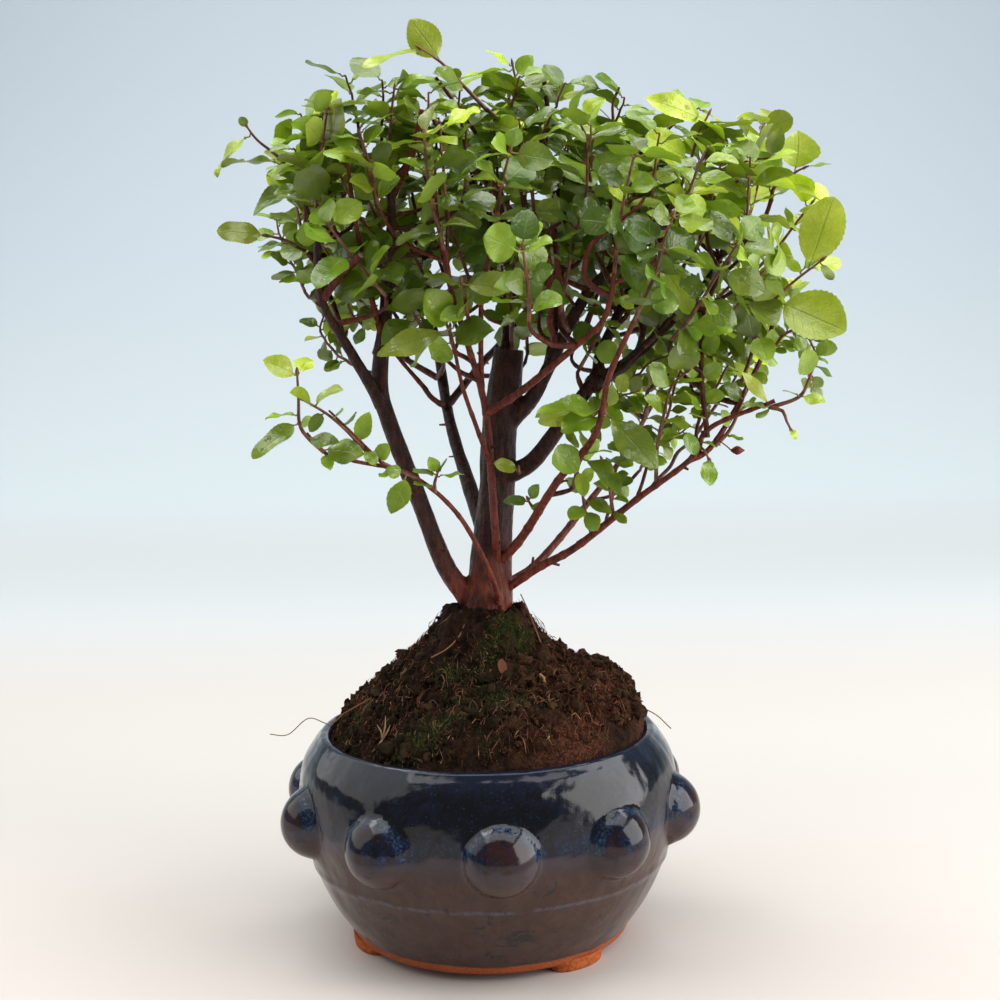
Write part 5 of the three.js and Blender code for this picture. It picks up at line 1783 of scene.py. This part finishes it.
def add_leaf(shape, drops, leaf, rng, fresh_and_lit):
    """A blade on its stalk. Its colour value runs from 0, dark and full grown, to 1, the newest
    yellow-green, and also carries painted light: lit and backlit leaves are given higher values.
    """
    by_hand = leaf.width is not None
    width = np.cross(leaf.normal, leaf.direction)
    roll = rng.normal(0, LEAF_ROLL[by_hand])
    width, normal = (
        math.cos(roll) * width + math.sin(roll) * leaf.normal,
        math.cos(roll) * leaf.normal - math.sin(roll) * width,
    )
    near = np.clip((-30 - leaf.centre[1]) / 30, 0, 1)
    length = leaf.length
    if not by_hand:
        length = length * (LEAF_SHRINK * (1 - 0.22 * near) * rng.uniform(0.86, 1.1))
    shift = (rng.uniform(-2.6, 0.4) if leaf.extra else rng.uniform(-0.8, 0.8)) * leaf.axis
    centre = leaf.centre + (0.0 if by_hand else 1.0) * shift
    start = centre + STEM_HALF * (0.3 if by_hand else 1.0) * leaf.out
    petiole = rng.uniform(*PETIOLE_LENGTH)
    rows = next(rows for limit, rows in LEAF_ROWS if length < limit)
    t, half = leaf_outline(rows + 1, rng.uniform(0.52, 0.72), rng.uniform(0.80, 1.06))
    spread = 0.5 * LEAF_WIDTH * rng.uniform(*LEAF_SPREAD)
    if by_hand:
        spread = 0.5 * leaf.width / length
    reach = petiole + (1 - petiole) * t
    a = np.linspace(-1, 1, LEAF_COLUMNS + 1)
    across = spread * half[:, None] * a[None, :]
    fold = LEAF_FOLD * rng.uniform(-0.25, 1.5)
    droop = rng.normal(*LEAF_DROOP) * DROOP_SHARE[by_hand]
    twist = rng.normal(0, LEAF_TWIST[by_hand])
    wave = rng.uniform(*LEAF_WAVE) * np.sin(rng.uniform(0, 6.28) + rng.uniform(6, 11) * t)
    cup = fold * (np.sqrt(across**2 + 0.0016) - 0.04) - droop * reach[:, None] ** 2
    rise = cup + wave[:, None] * np.abs(a) ** 1.5 * np.sign(a + 0.01) + twist * across * reach[:, None]
    sway = rng.normal(0, 0.05) * (reach**2)[:, None]
    x = reach[:, None] + 0 * across
    grid = x[..., None] * leaf.direction + (across + sway)[..., None] * width + rise[..., None] * normal
    grid = start + length * grid
    thick = 0.5 * LEAF_THICKNESS * normal
    top = grid.copy()
    top[1:-1, 1:-1] += thick
    low = grid[1:-1, 1:-1] - thick
    points = np.concatenate([top.reshape(-1, 3), low.reshape(-1, 3)])
    uv_top = np.dstack([t[:, None] + 0 * x, 0.5 + 0.5 * a[None, :] + 0 * x])
    uv = np.concatenate([uv_top.reshape(-1, 2), uv_top[1:-1, 1:-1].reshape(-1, 2)])
    age_and_light = np.clip(fresh_and_lit + (0.0 if by_hand else rng.normal(0, 0.17)), 0, 1)
    dry = 0.9 if not by_hand and rng.random() < OLD_LEAVES else 0.0
    tint = np.tile([age_and_light, rng.random(), dry, 0.0], (len(points), 1))
    tint[top.size // 3 :, 3] = 1.0
    above, below = blade_faces(rows)
    shape.add(points, [above, below], slot=0, tint=tint, uv=uv)
    if normal[2] > 0.1 and length > 8 and rng.random() < WET_LEAVES:
        wet_leaf(drops, top, normal, length, rng)
    middle = LEAF_COLUMNS // 2
    foot = grid[0, middle]
    bend = start + 0.45 * (foot - start) - 0.04 * length * normal
    line, _ = smooth_line([centre, start, bend, foot, grid[1, middle] - 1.2 * thick], 1.0)
    young = 0.3 + 0.6 * age_and_light
    shape.add(*tube(line, np.linspace(*PETIOLE_RADII, len(line)), 5), slot=1, tint=(young, 0, 0, 1))


def add_bud(shape, tip, along, rng):
    size = rng.uniform(0.45, 0.7)
    line = tip + np.outer([0, 0.9, 1.8, 2.6], along)
    shape.add(*tube(line, size * np.array([0.6, 1.0, 0.7, 0.15]), 6), slot=1, tint=(0.4, 0, 0, 1))


def freshness_and_painted_light(spot):
    """Leaves on the outside are newer, those near the front a little older. The lighter yellow-green at the
    top, on the right and on the left of the crown is painted light: a painted sheen on top, painted light
    through backlit leaves on the right, and painted brightening on the left.
    """
    off = (spot - HEART) / CROWN_REACH
    outer = np.clip(np.linalg.norm(off), 0, 1.2)
    right = np.clip((spot[0] - 50) / 50, 0, 1)
    high = np.clip((spot[2] - 225) / 50, 0, 1)
    left = np.clip((-25 - spot[0]) / 40, 0, 1)
    near = np.clip((-30 - spot[1]) / 30, 0, 1)
    return 0.16 * left + 0.12 + 0.26 * outer**1.5 + 0.55 * right + 0.24 * high - 0.20 * near


def toward_sky(leaf):
    """High up, blades turn their faces to the sky."""
    share = 0.6 * np.clip((leaf.centre[2] - SKY_ABOVE[0]) / (SKY_ABOVE[1] - SKY_ABOVE[0]), 0, 1)
    normal = (1 - share) * leaf.normal + share * UP
    return leaf._replace(normal=square_to(normal, leaf.direction))


def add_shoot(shape, drops, shoot, index):
    rng = np.random.default_rng(SEEDS["shoots"] + index)
    stem, leaves = grow_shoot(shoot, index)
    line, _ = smooth_line(stem, 1.6)
    shape.add(*tube(line, np.linspace(*SHOOT_STEM, len(line)), 7), slot=1, tint=(0.1, 0, 0, 1))
    add_bud(shape, stem[-1], unit(stem[-1] - stem[-2]), rng)
    # The leaves' colour value: their age, with painted light at the crown's top, right and left.
    fresh_and_lit = freshness_and_painted_light(stem[-1]) + rng.normal(0, 0.15)
    for place_in_shoot, leaf in enumerate(leaves):
        newer = 0.26 * (place_in_shoot / len(leaves) - 0.5)
        add_leaf(shape, drops, toward_sky(leaf), rng, fresh_and_lit + newer)


def add_spray(shape, drops, name, seed):
    """A stem and its leaves where they were seen."""
    rng = np.random.default_rng(seed)
    stem, leaves = SPRAYS[name]
    line, where = smooth_line(stem, 1.5)
    shape.add(*tube(line, np.linspace(*SPRAY_STEM, len(line)), 7), slot=1, tint=(0.12, 0, 0, 1))
    add_bud(shape, line[-1], unit(line[-1] - line[-2]), rng)
    for along, tip, width, face, fresh_and_lit in leaves:
        foot = np.array([np.interp(along, where, line[:, i]) for i in range(3)])
        direction = np.array(tip, float) - foot
        length = np.linalg.norm(direction)
        direction = direction / length
        normal = square_to(np.array(face, float), direction)
        leaf = Leaf(foot, direction, direction, normal, length, direction, 0, width)
        add_leaf(shape, drops, leaf, rng, fresh_and_lit)


def add_sprig(shape, drops, points, size, seed):
    """A thin stem with small leaves that turn by turn stand to each side of it."""
    rng = np.random.default_rng(seed)
    line, _ = smooth_line(points, SPRIG_STEP * size / 14)
    line = line + rng.normal(0, 0.14, line.shape)
    shape.add(*tube(line, np.linspace(*SPRIG_STEM, len(line)), 6), slot=1, tint=(0.1, 0, 0, 1))
    faces = (FRONT, TILTED, ABOVE, RIGHT)
    for k in range(1, len(line)):
        along = unit(line[k] - line[k - 1])
        side = across_of(along) if abs(along[1]) > 0.7 else unit(np.cross(along, [0, 1, 0]))
        turn = math.pi * (k % 2) + rng.normal(0, 0.55)
        out = unit(0.45 * along + math.cos(turn) * side + math.sin(turn) * np.cross(along, side))
        normal = np.array(faces[rng.integers(4)]) + rng.normal(0, 0.3, 3)
        normal = square_to(normal, out)
        length = size * rng.uniform(0.7, 1.25)
        leaf = Leaf(line[k], out, out, normal, length, along, 0, length * rng.uniform(0.58, 0.85))
        add_leaf(shape, drops, toward_sky(leaf), rng, np.clip(rng.normal(0.50, 0.20), 0.05, 0.95))


def top_row():
    """Sprigs by rule along the top of the crown: points of the stem, and the leaves' length."""
    rng = np.random.default_rng(SEEDS["top_row"])
    sprigs = []
    for x in np.linspace(*TOP_ROW_ENDS, TOP_ROW):
        x, y = x + rng.normal(0, 2.5), rng.uniform(*TOP_ROW_DEPTH)
        top = along_line(CROWN_TOP, x) - CROWN_ROUNDING * (y / CROWN_HALF_DEPTH) ** 2
        lean = np.array([0.10 * (x - CROWN_MIDDLE) + rng.normal(0, 3), -2.5, 0])
        foot = np.array([x, y, top - TOP_ROW_BELOW])
        stem = [foot, foot + 0.4 * lean + [0, 0, 11], foot + lean + [0, 0, 22]]
        sprigs.append((stem, rng.uniform(*TOP_ROW_LEAF)))
    return sprigs


def make_shoots(shoots, leaf, stem, water):
    """The sprays listed one by one, the CAD's other shoots, and those that fill the crown between them."""
    drops = Shape()
    keys = [*LIMB_END_SHOOTS, *PLACED_SHOOTS]
    node_of = {key: f"shoot_{index + 1:02d}" for index, key in enumerate(keys)}
    taken = set()
    for seed, (name, (sprays, replaced)) in enumerate(SPRAY_PIECES.items()):
        shape = Shape()
        for order, spray in enumerate(sprays):
            add_spray(shape, drops, spray, SEEDS["sprays"] + 10 * seed + order)
        nodes = [node_of[key] for key in replaced if node_of[key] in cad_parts]
        taken.update(nodes)
        settle(shape.piece(name, [leaf, stem]), "leaf", *nodes)
    shape = Shape()
    for seed, (points, size) in enumerate([*SPRIGS.values(), *TOP_SPRIGS.values(), *top_row()]):
        add_sprig(shape, drops, points, size, SEEDS["sprigs"] + seed)
    settle(shape.piece("leafy_sprigs", [leaf, stem]), "leaf")
    planned = len(shoots) - FILL_SHOOTS
    by_rule = []
    for index in range(planned):
        node = f"shoot_{index + 1:02d}"
        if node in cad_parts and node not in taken:
            by_rule.append((index, node))
    for first in range(0, len(by_rule), SHOOTS_A_PIECE):
        shape = Shape()
        group = by_rule[first : first + SHOOTS_A_PIECE]
        for index, _ in group:
            add_shoot(shape, drops, shoots[index], index)
        name = "leafy_shoots_" + "_".join(f"{index + 1:02d}" for index, _ in group)
        settle(shape.piece(name, [leaf, stem]), "leaf", *[node for _, node in group])
    for group in range(FILL_GROUPS):
        shape = Shape()
        for index in range(planned + group, len(shoots), FILL_GROUPS):
            add_shoot(shape, drops, shoots[index], index)
        settle(shape.piece(f"crown_fill_{group + 1}", [leaf, stem]), "leaf")
    settle(drops.piece("water_drops", [water]), "leaf")


# Studio


def make_studio():
    """A pale floor that curves up into a pale wall behind. Its colour is painted light: lighter and warmer
    near the front, darker and bluer further back and up the wall.
    """
    profile = [(y, 0) for y in FLOOR_ROWS]
    for angle in np.radians(np.arange(6, 91, 6)):
        height = WALL_CURVE - WALL_CURVE * math.cos(angle)
        profile.append((FLOOR_ROWS[-1] + WALL_CURVE * math.sin(angle), height))
    profile.append((FLOOR_ROWS[-1] + WALL_CURVE, WALL_TOP))
    sides = (-FLOOR_REACH, FLOOR_REACH)
    edges = [np.column_stack([np.full(len(profile), x), profile]) for x in sides]
    shape = Shape()
    shape.add(np.stack(edges, axis=1).reshape(-1, 3), [grid_faces(len(profile), 2)])
    r = Recipe("studio_paper")
    split = r.node("SeparateXYZ", {0: r.place()}).node
    color = PAPER
    for axis, low, high, tone in PAPER_PAINTED_LIGHT:
        color = r.mix(r.ramp(split.outputs[axis], low, high), color, tone)
    paper = r.surface(r.principled(color, 1.0, specular=0.0))
    shape.piece("studio_floor", [paper])


def add_light(name, spot, aim, size, power, color):
    data = bpy.data.lights.new(name, "AREA")
    data.shape = "RECTANGLE"
    data.size, data.size_y = size
    data.energy = power
    data.color = color
    light = link(name, data)
    start, end = Vector(place(spot)), Vector(place(aim))
    light.location = start
    light.rotation_euler = (end - start).to_track_quat("-Z", "Y").to_euler()


def make_lights():
    """A wide soft window, a soft box above, a weak one on the left and one for the wall."""
    for name, values in LIGHTS.items():
        add_light(name, *values)
    world = bpy.data.worlds.new("soft_sky")
    world.use_nodes = True
    sky = world.node_tree.nodes["Background"]
    sky.inputs["Color"].default_value = SKY_COLOR
    sky.inputs["Strength"].default_value = SKY_STRENGTH
    bpy.context.scene.world = world
    bpy.context.scene.view_settings.view_transform = "Standard"


def make_camera():
    data = bpy.data.cameras.new("camera")
    data.lens = CAMERA_LENS
    data.sensor_width = CAMERA_SENSOR
    data.clip_start, data.clip_end = CAMERA_CLIP
    camera = link("camera", data)
    pitch = Matrix.Rotation(math.radians(90 - CAMERA_PITCH), 4, "X")
    roll = Matrix.Rotation(math.radians(CAMERA_ROLL), 4, "Z")
    camera.matrix_world = Matrix.Translation(Vector(place(CAMERA_PLACE))) @ pitch @ roll
    bpy.context.scene.camera = camera


def main():
    glaze, clay, peat, bark = glaze_material(), clay_material(), soil_material(), bark_material()
    leaf, stem = leaf_material(), stem_material()
    shoots = plan_shoots()
    make_pot(glaze, clay)
    make_soil(peat)
    make_crumbs(peat)
    make_moss(moss_material())
    fibre = fibre_material()
    make_fibres(fibre)
    make_litter(fibre)
    make_wood(bark)
    make_twigs(shoots, bark)
    make_shoots(shoots, leaf, stem, water_material())
    make_studio()
    make_lights()
    make_camera()


main()
